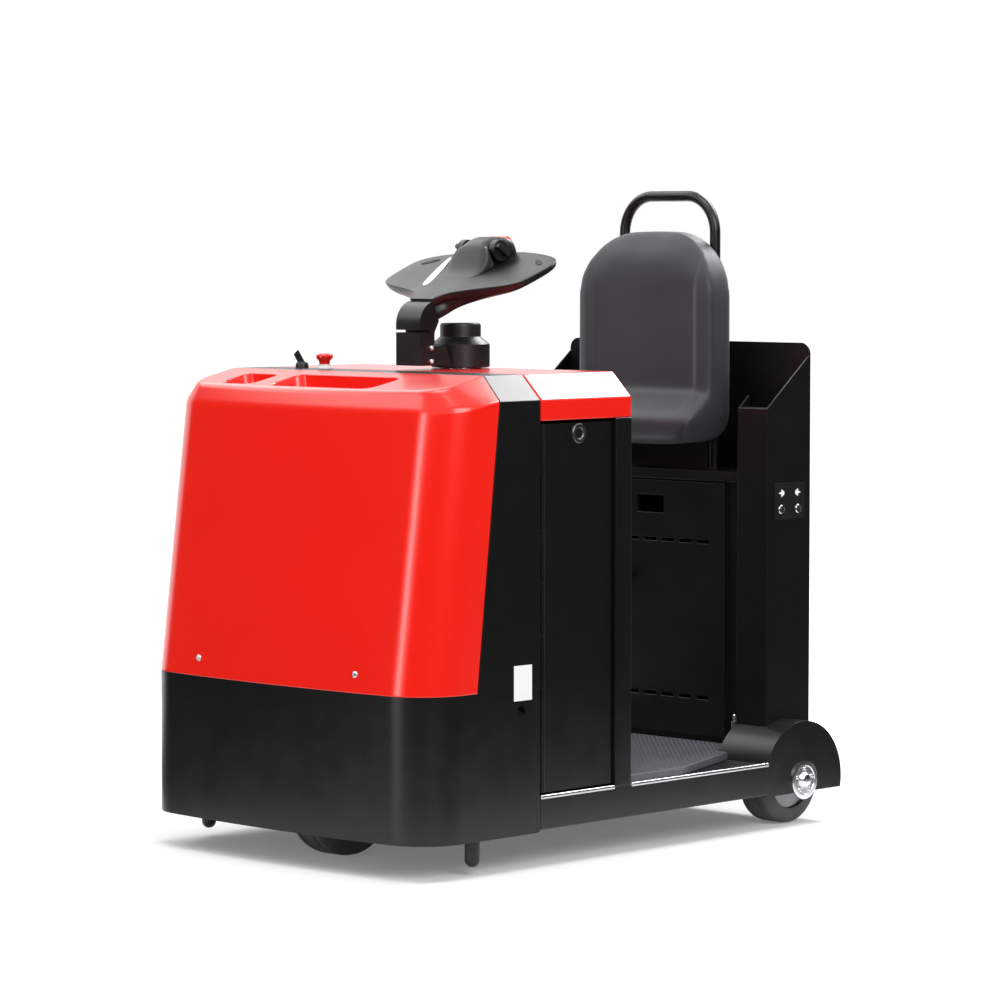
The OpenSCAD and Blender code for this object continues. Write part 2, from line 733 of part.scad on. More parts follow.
// Steering arm: a bracket on the boss, a clamp post and a neck that bends back to the nose
arm_ahead = 145;
arm_l = 41;
arm_low = deck_h + move_gap + seam_gap;
bracket_h = 38;
neck_r = 46;
neck_drop = 4;
slit_h = 5;
slit_l = 26;
slit_drop = 65;
keel_t = 46;
arm_front_y = steer_y - arm_ahead;
arm_rear_y = arm_front_y + arm_l;
neck_z = head_low - neck_drop - neck_r;
slit_z = head_low - slit_drop;
module steering_arm() color(black) difference() {
    along_x(arm_w) polygon(concat(
        [[nose_y + keel_t*sin(head_tilt), head_low - keel_t*cos(head_tilt)], [arm_rear_y, slit_z],
            [arm_rear_y, arm_low + bracket_h], [steer_y, arm_low + bracket_h], [steer_y, arm_low],
            [arm_front_y, arm_low]],
        arc([arm_front_y + neck_r, neck_z], neck_r, 180, 90),
        [[nose_y + keel_t, head_low - neck_drop]]));
    translate([0, steer_y, arm_low - overrun]) cylinder(d = boss_d, h = boss_h + overrun);
    translate([-arm_w, arm_front_y - overrun, slit_z]) cube([2*arm_w, slit_l + overrun, slit_h]);
    in_head() translate([-arm_w, 0, -head_slope_len])
        cube([2*arm_w, head_slope_len, 2*head_slope_len]);
}

// Steering head: a ray-shaped shell lofted from cross-sections along its length. Each row of
// shares holds a place along the length, the half width, the keel's half width and its depth
head_shares = [
    [0, 0.16, 0.13, 1], [0.08, 0.18, 0.14, 1], [0.15, 0.26, 0.15, 0.98], [0.20, 0.38, 0.16, 0.95],
    [0.25, 0.58, 0.18, 0.90], [0.30, 0.76, 0.20, 0.85], [0.36, 0.90, 0.24, 0.78],
    [0.46, 0.96, 0.28, 0.68], [0.60, 0.99, 0.30, 0.58], [0.72, 1, 0.30, 0.52],
    [0.80, 0.98, 0.28, 0.50], [0.87, 0.88, 0.26, 0.48], [0.93, 0.73, 0.24, 0.47],
    [0.97, 0.54, 0.22, 0.46], [1, 0.32, 0.18, 0.45]];
head_edge = 6;
function head_ring(row) = let (y = row[0]*head_slope_len, w = row[1]*head_w/2,
    keel_w = row[2]*head_w/2, keel = row[3]*keel_t)
    [[head_edge - w, y, 0], [w - head_edge, y, 0], [w, y, -head_edge], [w, y, head_edge - head_t],
        [w - head_edge, y, -head_t], [keel_w, y, -keel], [-keel_w, y, -keel],
        [head_edge - w, y, -head_t], [-w, y, head_edge - head_t], [-w, y, -head_edge]];
ring_size = 10;
module loft(rings) {
    last = len(rings) - 1;
    polyhedron(
        points = [for (ring = rings, p = ring) p],
        faces = concat(
            [[for (i = [0:ring_size - 1]) i]],
            [for (k = [0:last - 1], i = [0:ring_size - 1]) let (j = (i + 1) % ring_size)
                each [[k*ring_size + i, (k + 1)*ring_size + i, (k + 1)*ring_size + j],
                    [k*ring_size + i, (k + 1)*ring_size + j, k*ring_size + j]]],
            [[for (i = [ring_size - 1:-1:0]) last*ring_size + i]]));
}

// Pod at the back of the head, drawn as shares of the head's length and the pod's height
pod_w = 74;
pod_h = 47;
pod_shares = [[0.42, 0], [0.49, 0.05], [0.56, 0.20], [0.63, 0.48], [0.69, 0.78], [0.74, 0.94],
    [0.80, 1], [0.97, 0.74], [0.99, 0.66], [1, 0.5], [1, 0]];
pod_sink = 12;
module steering_head() color(black) in_head() {
    loft([for (row = head_shares) head_ring(row)]);
    translate([0, 0, -pod_sink]) along_x(pod_w) polygon(
        [for (p = pod_shares) [p.x*head_slope_len, p.y*pod_h + (p.y > 0 ? pod_sink : 0)]]);
}

// Butterfly throttle on both sides of the pod, and the red button on its back
paddle_at_share = 0.8;
paddle_r = 21;
paddle_w = 14;
paddle_out = 9;
paddle_reach = 18;
paddle_lean = 35;
paddle_t = 8;
module throttle() color(black) both_sides() in_head()
    translate([pod_w/2 + paddle_w/2, paddle_at_share*head_slope_len, paddle_r + seam_gap]) {
        rod_x(paddle_r, paddle_w);
        rotate([paddle_lean, 0, 0]) translate([-paddle_w/2, -paddle_t/2, -paddle_reach])
            cube([paddle_w + paddle_out, paddle_t, 2*paddle_reach]);
    }
button_w = 60;
button_h = 28;
button_t = 8;
button_low = 3;
button_r = 9;
module horn_button() color(red) in_head() translate([0, head_slope_len + button_t, button_low])
    rotate([90, 0, 0]) linear_extrude(button_t) polygon(concat(
        [[-button_w/2, 0], [button_w/2, 0]],
        arc([button_w/2 - button_r, button_h - button_r], button_r, 0, 90),
        arc([-button_w/2 + button_r, button_h - button_r], button_r, 90, 180)));

// Emergency stop and key switch on the hoop
stop_in = 220;
key_in = 162;
stop_back = 302;
stop_r = 17;
stop_h = 30;
stop_neck_share = 0.7;
stop_step_share = 0.3;
stop_lip_share = 0.65;
stop_dome_share = 0.85;
module emergency_stop() color(red) translate([stop_in - half_w, front_y + stop_back, deck_h])
    rotate_extrude() polygon([[0, 0], [stop_r*stop_neck_share, 0],
        [stop_r*stop_neck_share, stop_h*stop_step_share], [stop_r, stop_h*stop_lip_share],
        [stop_r, stop_h*stop_dome_share], [stop_r*stop_neck_share, stop_h], [0, stop_h]]);
key_r = 13;
key_h = 12;
key_w = 16;
key_t = 4;
key_up = 30;
key_sink = 9;
key_lean = 38;
module key_switch() color(black) translate([key_in - half_w, front_y + stop_back, deck_h]) {
    cylinder(r = key_r, h = key_h);
    translate([0, 0, key_h]) rotate([0, -key_lean, 0])
        translate([-key_w/2, -key_t/2, -key_sink]) cube([key_w, key_t, key_sink + key_up]);
}

// Inching buttons on the rear body's side plates
inch_r = 9;
inch_out = 4;
inch_z = 632;
inch_step = 52;
inch_back = 40;
module inching_buttons() color(steel) both_sides() for (i = [0:1])
    translate([rear_w/2 + inch_out/2, rear_y - inch_back - i*inch_step, inch_z]) rod_x(inch_r, inch_out);

// Tow jaw on the back plate, and its lift-out pin
jaw_t = 14;
jaw_r = 28;
jaw_plate_h = 150;
pin_back = 32;
pin_y = tail_y - pin_back;
module jaw_plan() polygon(concat([[-jaw_w/2, rear_y]],
    arc([-jaw_w/2 + jaw_r, tail_y - jaw_r], jaw_r, 180, 90),
    arc([jaw_w/2 - jaw_r, tail_y - jaw_r], jaw_r, 90, 0), [[jaw_w/2, rear_y]]));
module tow_jaw() color(black) difference() {
    union() {
        translate([-jaw_w/2, rear_y, jaw_h - jaw_plate_h/2]) cube([jaw_w, plate_t, jaw_plate_h]);
        for (z = [jaw_h - jaw_gap/2 - jaw_t, jaw_h + jaw_gap/2])
            translate([0, 0, z]) linear_extrude(jaw_t) jaw_plan();
    }
    translate([0, pin_y, jaw_h - jaw_plate_h/2]) cylinder(d = pin_d + 2*run_gap, h = jaw_plate_h);
}
pin_tip = 14;
pin_head_r = 19;
pin_head_h = 8;
pin_ring_r = 20;
pin_wire_r = 4;
module tow_pin() color(steel) translate([0, pin_y, 0]) {
    top = jaw_h + jaw_gap/2 + jaw_t + seat_gap;
    low = jaw_h - jaw_gap/2 - jaw_t - pin_tip;
    translate([0, 0, low]) cylinder(d = pin_d, h = top - low);
    translate([0, 0, top]) cylinder(r = pin_head_r, h = pin_head_h);
    translate([0, 0, top + pin_head_h + pin_ring_r]) rotate([90, 0, 0]) rotate_extrude()
        translate([pin_ring_r, 0]) circle(r = pin_wire_r);
}

// Anti-tip feet inside the skirt, one each side of the drive wheel
foot_r = 14;
foot_low = 15;
foot_bracket = 34;
foot_back = 168;
module anti_tip_feet() color(black) both_sides()
    translate([half_w - plate_t - foot_bracket/2, front_y + foot_back, 0]) {
    translate([0, 0, foot_low]) rotate_extrude()
        polygon(concat(arc([0, foot_r], foot_r, 270, 360), [[foot_r, ground_gap], [0, ground_gap]]));
    translate([-foot_bracket/2, -foot_bracket/2, ground_gap]) cube(foot_bracket);
}

front_skirt();
front_frame();
side_sills();
belly_pan();
drive_deck();
bay_frame();
battery();
hood();
battery_cover();
door_hinges();
floor_plate();
floor_mat();
left_arch();
right_arch();
rear_shell();
rear_shelf();
rear_panel();
rear_crossmember();
left_axle();
right_axle();
seat_cushion();
seat_plate();
grab_loop();
steering_spindle();
emergency_stop();
key_switch();
inching_buttons();
tow_jaw();
anti_tip_feet();
drive_carrier();
drive_motor();
drive_axle();
drive_hub();
drive_tyre();
left_hub();
left_tyre();
right_hub();
right_tyre();
steering_boss();
steering_arm();
steering_head();
throttle();
horn_button();
left_door();
left_lock();
right_door();
right_lock();
tow_pin();
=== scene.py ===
# %% [markdown]
# A small stand-on baggage tug: a red moulded hood on a black welded frame, a battery bay with
# a door on each side, a rubber-covered platform, and a lean seat in front of a grab loop. The
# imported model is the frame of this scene. Most pieces are copied from its parts or placed from
# their boxes, so they follow the part's source when a size changes. The steering head, the
# scoops in the hood, and some plates and screws have fixed places, which don't follow it.

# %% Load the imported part
import json
import math
import bmesh
import bpy
from mathutils import Matrix, Vector
from mathutils.bvhtree import BVHTree

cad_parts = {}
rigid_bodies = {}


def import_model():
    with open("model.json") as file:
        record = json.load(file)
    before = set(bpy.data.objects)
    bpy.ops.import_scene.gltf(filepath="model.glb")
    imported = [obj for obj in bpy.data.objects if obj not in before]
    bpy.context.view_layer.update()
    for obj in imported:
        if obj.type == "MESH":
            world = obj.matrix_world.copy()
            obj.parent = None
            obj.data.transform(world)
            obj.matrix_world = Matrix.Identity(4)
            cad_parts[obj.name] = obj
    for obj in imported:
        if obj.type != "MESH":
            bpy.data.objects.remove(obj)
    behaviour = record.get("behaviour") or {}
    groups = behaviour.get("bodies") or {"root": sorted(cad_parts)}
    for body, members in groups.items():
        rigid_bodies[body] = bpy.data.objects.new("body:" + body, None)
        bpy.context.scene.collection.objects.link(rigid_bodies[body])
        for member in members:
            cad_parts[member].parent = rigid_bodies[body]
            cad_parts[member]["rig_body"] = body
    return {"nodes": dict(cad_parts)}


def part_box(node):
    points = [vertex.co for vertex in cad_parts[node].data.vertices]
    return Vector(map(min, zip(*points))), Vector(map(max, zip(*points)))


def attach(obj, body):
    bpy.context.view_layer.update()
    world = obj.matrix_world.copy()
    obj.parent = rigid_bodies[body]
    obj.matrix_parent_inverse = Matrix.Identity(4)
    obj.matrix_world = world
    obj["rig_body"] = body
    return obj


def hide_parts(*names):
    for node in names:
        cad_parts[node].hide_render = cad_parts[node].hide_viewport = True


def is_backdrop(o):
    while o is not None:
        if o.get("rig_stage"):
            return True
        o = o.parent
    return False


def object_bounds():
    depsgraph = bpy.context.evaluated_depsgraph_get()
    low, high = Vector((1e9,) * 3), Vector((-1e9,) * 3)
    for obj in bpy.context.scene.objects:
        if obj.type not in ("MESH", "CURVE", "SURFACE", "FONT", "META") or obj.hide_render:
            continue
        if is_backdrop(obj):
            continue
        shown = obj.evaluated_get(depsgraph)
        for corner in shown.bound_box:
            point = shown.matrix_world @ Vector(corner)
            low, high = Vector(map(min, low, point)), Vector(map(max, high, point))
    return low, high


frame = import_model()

cad_low, cad_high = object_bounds()
scene = bpy.context.scene
scene.view_settings.view_transform = "Standard"
print("part box", [round(v, 3) for v in cad_high - cad_low])

# %% [markdown]
# The camera comes first. A long lens about eight metres away, a little above the middle of
# the vehicle, keeps its upright edges nearly parallel, as a catalogue picture does.

# %% Camera
CAMERA_AT, CAMERA_AIM = (5.5471, -5.7621, 1.1727), Vector((-0.69296, 0.71811, -0.06426))
SENSOR_MM, LENS_MM = 36, 145.5
camera_data = bpy.data.cameras.new("catalogue_camera")
camera_data.sensor_width, camera_data.lens = SENSOR_MM, LENS_MM
camera = bpy.data.objects.new("catalogue_camera", camera_data)
camera.location = CAMERA_AT
camera.rotation_euler = CAMERA_AIM.to_track_quat("-Z", "Y").to_euler()
scene.collection.objects.link(camera)
scene.camera = camera
print("camera stands", round(camera.location.length, 2), "m away")

# %% [markdown]
# The stage is a pale floor and a white room. The floor adds a little glow for the camera and
# for reflections, more of it behind the vehicle, so that it turns white while the soft shadow
# under the vehicle stays. Light Path does this, and the light is left at a plain level.

# %% Scene helpers
def add_node(tree, kind, *ordered, **named):
    """A shader node whose inputs take plain values or the outputs of other nodes."""
    node = tree.nodes.new("ShaderNode" + kind)
    inputs = [(node.inputs[i], value) for i, value in enumerate(ordered)]
    inputs += [(node.inputs[label.replace("_", " ")], value) for label, value in named.items()]
    for socket, value in inputs:
        if isinstance(value, bpy.types.NodeSocket):
            tree.links.new(value, socket)
        else:
            socket.default_value = value
    return node


def add_math(tree, operation, first, second, clamp=False):
    node = add_node(tree, "Math", first, second)
    node.operation, node.use_clamp = operation, clamp
    return node.outputs[0]


def object_place(tree):
    return add_node(tree, "TexCoord").outputs["Object"]


def seen_directly(tree):
    """A mask of 1 for what the camera, a reflection or glass looks at."""
    path = add_node(tree, "LightPath")
    pair = add_math(tree, "MAXIMUM", path.outputs["Is Camera Ray"], path.outputs["Is Glossy Ray"])
    return add_math(tree, "MAXIMUM", pair, path.outputs["Is Transmission Ray"])


def add_object(name, bm, finish=None):
    """Puts a finished mesh into the scene."""
    mesh = bpy.data.meshes.new(name)
    bm.to_mesh(mesh)
    bm.free()
    if finish:
        mesh.materials.append(finish)
    obj = bpy.data.objects.new(name, mesh)
    scene.collection.objects.link(obj)
    return obj


def discard(obj):
    mesh = obj.data
    bpy.data.objects.remove(obj)
    bpy.data.meshes.remove(mesh)


def evaluated_mesh(obj):
    return obj.evaluated_get(bpy.context.evaluated_depsgraph_get()).to_mesh()


# %% White room
ROOM_TINT, ROOM_FILL = (0.95, 0.97, 1, 1), 0.38
world = bpy.data.worlds.new("white_room")
scene.world = world
world.use_nodes = True
room = world.node_tree
room.nodes.clear()
room_fill = add_node(room, "Background", ROOM_TINT, ROOM_FILL)
room_white = add_node(room, "Background", (1, 1, 1, 1), 1)
room_mix = add_node(room, "MixShader", seen_directly(room), room_fill.outputs[0], room_white.outputs[0])
add_node(room, "OutputWorld", room_mix.outputs[0])
print("room fill", ROOM_FILL)

# %% Floor
FLOOR_TINT, FLOOR_SIZE, FLOOR_DROP = (0.88, 0.88, 0.88, 1), 30, 0.001
GLOW_TOWARDS = (-0.69, 0.72, 0)
GLOW_RANGE = dict(From_Min=0.5, From_Max=2.4, To_Min=0.15, To_Max=0.9)
floor_finish = bpy.data.materials.new("studio_floor")
floor_finish.use_nodes = True
tree = floor_finish.node_tree
tree.nodes.clear()
floor_matt = add_node(tree, "BsdfDiffuse", FLOOR_TINT)
floor_spot = add_node(tree, "VectorMath", object_place(tree), GLOW_TOWARDS)
floor_spot.operation = "DOT_PRODUCT"
glow_range = add_node(tree, "MapRange", floor_spot.outputs["Value"], **GLOW_RANGE)
glow_range.interpolation_type = "SMOOTHSTEP"
glow_level = add_math(tree, "MULTIPLY", seen_directly(tree), glow_range.outputs["Result"])
floor_glow = add_node(tree, "Emission", Strength=glow_level)
floor_sum = add_node(tree, "AddShader", floor_matt.outputs[0], floor_glow.outputs[0])
add_node(tree, "OutputMaterial", floor_sum.outputs[0])

floor_bm = bmesh.new()
bmesh.ops.create_grid(floor_bm, x_segments=2, y_segments=2, size=FLOOR_SIZE)
bmesh.ops.translate(floor_bm, verts=floor_bm.verts, vec=(0, 0, -FLOOR_DROP))
studio_floor = add_object("studio_floor", floor_bm, floor_finish)
studio_floor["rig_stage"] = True
print("floor of", len(studio_floor.data.polygons), "faces")

# %% [markdown]
# Soft boxes light the vehicle: a broad one in front on the right, a tall strip straight ahead
# that runs down the hood's corner, a wide shallow one for the hood's band, one overhead
# for that band's corner, one high on the far side for the sloping tops, and one high behind
# that draws the bright lines along the chamfered deck edges. Dark cards stand where the
# upright faces would mirror the white room, as a product photographer does it, so that black
# paint looks black and red paint looks deep.

# %% Soft boxes
def soft_box(name, place, aim, width, height, watts):
    lamp = bpy.data.lights.new(name, "AREA")
    lamp.shape = "RECTANGLE"
    lamp.size, lamp.size_y = width, height
    lamp.energy = watts
    obj = bpy.data.objects.new(name, lamp)
    obj.location = place
    obj.rotation_euler = (Vector(aim) - Vector(place)).to_track_quat("-Z", "Y").to_euler()
    scene.collection.objects.link(obj)


soft_box("front_box", (4.1, -1.75, 2.9), (0, 0, 0.6), 2.4, 2.4, 112)
soft_box("strip_box", (-0.5, -4.2, 1.1), (0, 0, 0.7), 0.7, 2.0, 24)
soft_box("band_box", (-2.0, -2.5, 2.75), (0, -0.5, 0.88), 2.8, 0.9, 18)
soft_box("top_box", (0.35, -0.95, 4.0), (0.2, -0.5, 0.9), 1.7, 1.7, 46)
soft_box("far_box", (-2.9, 0.15, 3.8), (0, -0.2, 0.9), 3.6, 2.6, 60)
soft_box("back_box", (0.2, 3.4, 3.9), (0, 0, 0.9), 3.6, 1.3, 220)

# %% Dark cards
CARD_LIFT, FOOT_SHARE = 0.004, 0.55
card_finish = bpy.data.materials.new("black_card")
card_finish.use_nodes = True
card_shader = card_finish.node_tree.nodes["Principled BSDF"]
card_shader.inputs["Base Color"].default_value = (0.01, 0.01, 0.01, 1)
card_shader.inputs["Roughness"].default_value = 1


def dark_card(name, place, width, height, reach=0.3):
    """A black flat with a foot towards the vehicle, which shows only in reflections."""
    place = Vector(place)
    along = Vector((-place.y, place.x, 0)).normalized() * width / 2
    up, lift = Vector((0, 0, height)), Vector((0, 0, CARD_LIFT))
    near, foot = place * reach + lift, along * FOOT_SHARE
    bm = bmesh.new()
    places = (near - foot, near + foot, place + along + lift, place - along + lift,
              place + along + up, place - along + up)
    corners = [bm.verts.new(v) for v in places]
    for face in ((0, 1, 2, 3), (3, 2, 4, 5)):
        bm.faces.new([corners[i] for i in face])
    card = add_object(name, bm, card_finish)
    card.visible_camera = False
    card.visible_diffuse = False
    card.visible_shadow = False
    card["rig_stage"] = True
    print("card", name)


dark_card("front_card", (-2.3, -2.35, 0), 3.6, 2.1)
dark_card("rear_card", (2.35, 2.4, 0), 3.6, 2.1)
dark_card("side_card", (3.4, 0.2, 0), 2.6, 1.7, 0.25)
dark_card("near_card", (2.35, -2.75, 0), 5.2, 1.6, 0.35)

# %% [markdown]
# Finishes. Three effects are shared by several of them and are made once as node groups: a
# fine grain for the surface relief, a slow patchiness for colour and gloss, and patchy dust
# that thickens towards the ground. Each group only puts out values that change over the
# surface, and the shader itself stays in each material.

# %% Node groups
def new_group(name, inputs, outputs):
    group = bpy.data.node_groups.new(name, "ShaderNodeTree")
    for label, value in inputs:
        socket = group.interface.new_socket(label, in_out="INPUT", socket_type="NodeSocketFloat")
        socket.default_value = value
    for label in outputs:
        group.interface.new_socket(label, in_out="OUTPUT", socket_type="NodeSocketFloat")
    return group, group.nodes.new("NodeGroupInput"), group.nodes.new("NodeGroupOutput")


def add_noise(tree, place, scale, detail):
    return add_node(tree, "TexNoise", Vector=place, Scale=scale, Detail=detail).outputs["Fac"]


grain_group, grain_in, grain_out = new_group("fine_grain", [("Scale", 900.0)], ["Height", "Pits"])
place = object_place(grain_group)
grain_noise = add_noise(grain_group, place, grain_in.outputs["Scale"], 3)
grain_cells = add_node(grain_group, "TexVoronoi", Vector=place, Scale=grain_in.outputs["Scale"])
grain_group.links.new(grain_noise, grain_out.inputs["Height"])
grain_group.links.new(grain_cells.outputs["Distance"], grain_out.inputs["Pits"])

patch_group, patch_in, patch_out = new_group("slow_patches", [("Scale", 6.0), ("Spread", 0.2)], ["Value"])
patch_noise = add_noise(patch_group, object_place(patch_group), patch_in.outputs["Scale"], 4)
patch_mid = add_math(patch_group, "SUBTRACT", patch_noise, 0.5)
patch_wide = add_math(patch_group, "MULTIPLY", patch_mid, patch_in.outputs["Spread"])
patch_group.links.new(patch_wide, patch_out.inputs["Value"])

dust_group, dust_in, dust_out = new_group("settled_dust", [("Amount", 0.3), ("Height", 0.3)], ["Mask"])
dust_place = object_place(dust_group)
dust_axes = add_node(dust_group, "SeparateXYZ", dust_place)
dust_fall = add_node(dust_group, "MapRange", dust_axes.outputs["Z"], From_Max=dust_in.outputs["Height"],
                     To_Min=1, To_Max=0)
dust_noise = add_noise(dust_group, dust_place, 18, 6)
dust_patch = add_math(dust_group, "MULTIPLY", dust_noise, dust_fall.outputs["Result"])
dust_mask = add_math(dust_group, "MULTIPLY", dust_patch, dust_in.outputs["Amount"], clamp=True)
dust_group.links.new(dust_mask, dust_out.inputs["Mask"])
print("node groups", [g.name for g in bpy.data.node_groups])

# %% [markdown]
# One function builds a finish from these groups: the base colour is shaded a little by the
# patches and greyed by the dust, the roughness follows the patches, and the grain becomes
# relief through a Bump node. What stays the same all over sits on the shader's own sockets.

# %% Finish builder
DUST_TINT = (0.30, 0.29, 0.27, 1)


def make_finish(name, colour, roughness, grain=900, relief=0.1, depth=0.0002, pits=False, patch=6.0,
                shade=0.25, gloss_shade=0.2, dust=0.15, dust_height=0.35, **sockets):
    finish = bpy.data.materials.new(name)
    finish.use_nodes = True
    tree = finish.node_tree
    shader = tree.nodes["Principled BSDF"]
    for label, value in sockets.items():
        shader.inputs[label.replace("_", " ").title().replace("Ior", "IOR")].default_value = value

    def placed(group, **values):
        node = tree.nodes.new("ShaderNodeGroup")
        node.node_tree = group
        for label, value in values.items():
            node.inputs[label].default_value = value
        return node

    tint = placed(patch_group, Scale=patch, Spread=shade)
    bright = add_node(tree, "HueSaturation", Color=(*colour, 1),
                      Value=add_math(tree, "ADD", tint.outputs["Value"], 1.0))
    settled = placed(dust_group, Amount=dust, Height=dust_height)
    dusty = add_node(tree, "Mix")
    dusty.data_type = "RGBA"
    dusty.inputs["B"].default_value = DUST_TINT
    tree.links.new(settled.outputs["Mask"], dusty.inputs["Factor"])
    tree.links.new(bright.outputs["Color"], dusty.inputs["A"])
    gloss = placed(patch_group, Scale=patch * 3, Spread=gloss_shade)
    rough = add_math(tree, "ADD", gloss.outputs["Value"], roughness, clamp=True)
    grained = placed(grain_group, Scale=grain).outputs["Pits" if pits else "Height"]
    bump = add_node(tree, "Bump", Strength=relief, Distance=depth, Height=grained)
    tree.links.new(dusty.outputs["Result"], shader.inputs["Base Color"])
    tree.links.new(rough, shader.inputs["Roughness"])
    tree.links.new(bump.outputs["Normal"], shader.inputs["Normal"])
    return finish


hood_paint = make_finish("hood_paint", (0.80, 0.009, 0.002), 0.30, grain=420, relief=0.03, depth=0.0001,
                         shade=0.08, gloss_shade=0.06, dust=0.0, specular_tint=(1, 0.05, 0.02, 1),
                         coat_weight=0.7, coat_roughness=0.2, coat_ior=1.7)
frame_paint = make_finish("frame_paint", (0.0045, 0.0045, 0.005), 0.32, grain=1400, relief=0.10,
                          gloss_shade=0.12, dust=0.05, specular_ior_level=0.45)
black_plastic = make_finish("black_plastic", (0.007, 0.007, 0.008), 0.40, grain=1800, relief=0.20,
                            pits=True, dust=0.0)
lock_steel = make_finish("lock_steel", (0.16, 0.16, 0.155), 0.42, grain=2000, relief=0.06, shade=0.15,
                         dust=0.0, metallic=1.0)
bright_steel = make_finish("bright_steel", (0.72, 0.73, 0.75), 0.24, grain=2400, relief=0.05,
                           shade=0.1, dust=0.0, metallic=1.0)
cast_hub = make_finish("cast_hub", (0.30, 0.30, 0.31), 0.45, grain=700, relief=0.3, shade=0.3,
                       dust=0.3, metallic=0.8)
tyre_rubber = make_finish("tyre_rubber", (0.012, 0.012, 0.012), 0.72, grain=1200, relief=0.3, dust=0.45,
                          dust_height=0.3)
mat_rubber = make_finish("mat_rubber", (0.060, 0.065, 0.080), 0.55, grain=1500, relief=0.3, shade=0.35,
                         dust=0.3, dust_height=0.6)
seat_cover = make_finish("seat_cover", (0.024, 0.024, 0.031), 0.48, grain=1100, relief=0.35, pits=True,
                         depth=0.0004, shade=0.2, dust=0.0, sheen_weight=0.12)
white_enamel = make_finish("white_enamel", (0.80, 0.80, 0.79), 0.35, grain=500, relief=0.04, shade=0.06,
                           dust=0.0)
print("finishes", len(bpy.data.materials))

# %% [markdown]
# Helpers for pieces. A finished piece keeps its place in its mesh, rides on a body of the
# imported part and, where it stands for a part, hides it. Faces are shaded smooth between
# sharp edges, and weighted normals keep the big flat faces flat beside their rounded edges.

# %% Piece helpers
def make_piece(name, bm, body, finish, nodes=(), sharp=35, flat=True):
    bm.normal_update()
    piece = add_object(name, bm, finish)
    for face in piece.data.polygons:
        face.use_smooth = True
    piece.data.set_sharp_from_angle(angle=math.radians(sharp))
    if flat:
        piece.modifiers.new("flat_faces", "WEIGHTED_NORMAL").keep_sharp = True
    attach(piece, body)
    if nodes:
        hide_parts(*nodes)
    return piece


MERGE_D, FLAT_DEG, EDGE_DEG = 0.00002, 0.6, 28


def copy_of(node):
    """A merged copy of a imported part's mesh, with its flat triangles joined into faces."""
    bm = bmesh.new()
    bm.from_mesh(frame["nodes"][node].data)
    bmesh.ops.remove_doubles(bm, verts=bm.verts, dist=MERGE_D)
    bmesh.ops.dissolve_limit(bm, angle_limit=math.radians(FLAT_DEG), verts=bm.verts, edges=bm.edges)
    return bm


def edges_over(bm, degrees, test=None):
    limit = math.radians(degrees)
    return [e for e in bm.edges if len(e.link_faces) == 2 and e.calc_face_angle(0) > limit
            and (test is None or test(e))]


def round_edges(bm, edges, width, segments=3):
    bmesh.ops.bevel(bm, geom=edges, offset=width, offset_type="OFFSET", affect="EDGES",
                    segments=segments, profile=0.5, material=-1, clamp_overlap=True)


def body_of(node):
    return frame["nodes"][node]["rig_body"]


def edges_of(verts):
    return list({e for v in verts for e in v.link_edges})


def add_block(bm, low, high):
    """The corners of a plain block between two points."""
    low, high = Vector(low), Vector(high)
    made = bmesh.ops.create_cube(bm, size=1)["verts"]
    bmesh.ops.scale(bm, verts=made, vec=high - low)
    bmesh.ops.translate(bm, verts=made, vec=(high + low) / 2)
    return made


def add_slab(bm, low, high, soft, segments=2):
    """A block with rounded edges."""
    round_edges(bm, edges_of(add_block(bm, low, high)), soft, segments)


def add_smoothing(piece, levels):
    skin = piece.modifiers.new("skin", "SUBSURF")
    skin.levels = skin.render_levels = levels


def foot_of(node):
    """The middle of a part's underside, and its size."""
    low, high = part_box(node)
    return Vector(((low.x + high.x) / 2, (low.y + high.y) / 2, low.z)), high - low


print("piece helpers for", len(frame["nodes"]), "parts")

# %% [markdown]
# The welded and machined parts already have the right shape. Each gets a merged copy whose
# sharp edges are rounded, because an edge without a radius never catches the light. The bent
# loop needs no rounding, and three plates low in the frame only get the paint.

# %% Dressed steel parts
WELD_BACK, WELD_HALF = 0.150, 0.0005
SEAM_Z, SEAM_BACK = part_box("front_skirt")[1].z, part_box("hood")[0].y + WELD_BACK


def is_weld(edge):
    """An edge of the flush joint between skirt and pillar, which is left without a seam."""
    return all(abs(v.co.z - SEAM_Z) < WELD_HALF and v.co.y > SEAM_BACK for v in edge.verts)


def dress(node, finish, width, segments=2):
    bm = copy_of(node)
    if width:
        round_edges(bm, edges_over(bm, EDGE_DEG, lambda e: not is_weld(e)), width, segments)
    return make_piece(node + "_dressed", bm, body_of(node), finish, [node])


DRESSED = [
    (frame_paint, "frame_paint", {"front_skirt": 0.002, "front_frame": 0.002, "side_sills": 0.003,
                                  "bay_frame": 0.002}),
    (black_plastic, "black_plastic", {"battery": 0.002}),
    (frame_paint, "frame_paint", {"left_arch": 0.0018, "right_arch": 0.0018, "rear_shell": 0.0012,
                                  "rear_panel": 0.0012, "rear_shelf": 0.001, "rear_crossmember": 0.003,
                                  "seat_plate": 0.0015, "grab_loop": 0, "tow_jaw": 0.002}),
    (black_plastic, "black_plastic", {"anti_tip_feet": 0.002}),
    (frame_paint, "frame_paint", {"drive_carrier": 0.002, "drive_motor": 0.0015}),
    (bright_steel, "bright_steel", {"drive_axle": 0.001}),
    (cast_hub, "cast_hub", {"drive_hub": 0.002, "left_hub": 0.002, "right_hub": 0.002}),
    (frame_paint, "frame_paint", {"left_door": 0.0018, "right_door": 0.0018, "door_hinges": 0.0006}),
    (bright_steel, "bright_steel", {"steering_spindle": 0.001, "tow_pin": 0.001}),
    (hood_paint, "hood_paint", {"horn_button": 0.002}),
]
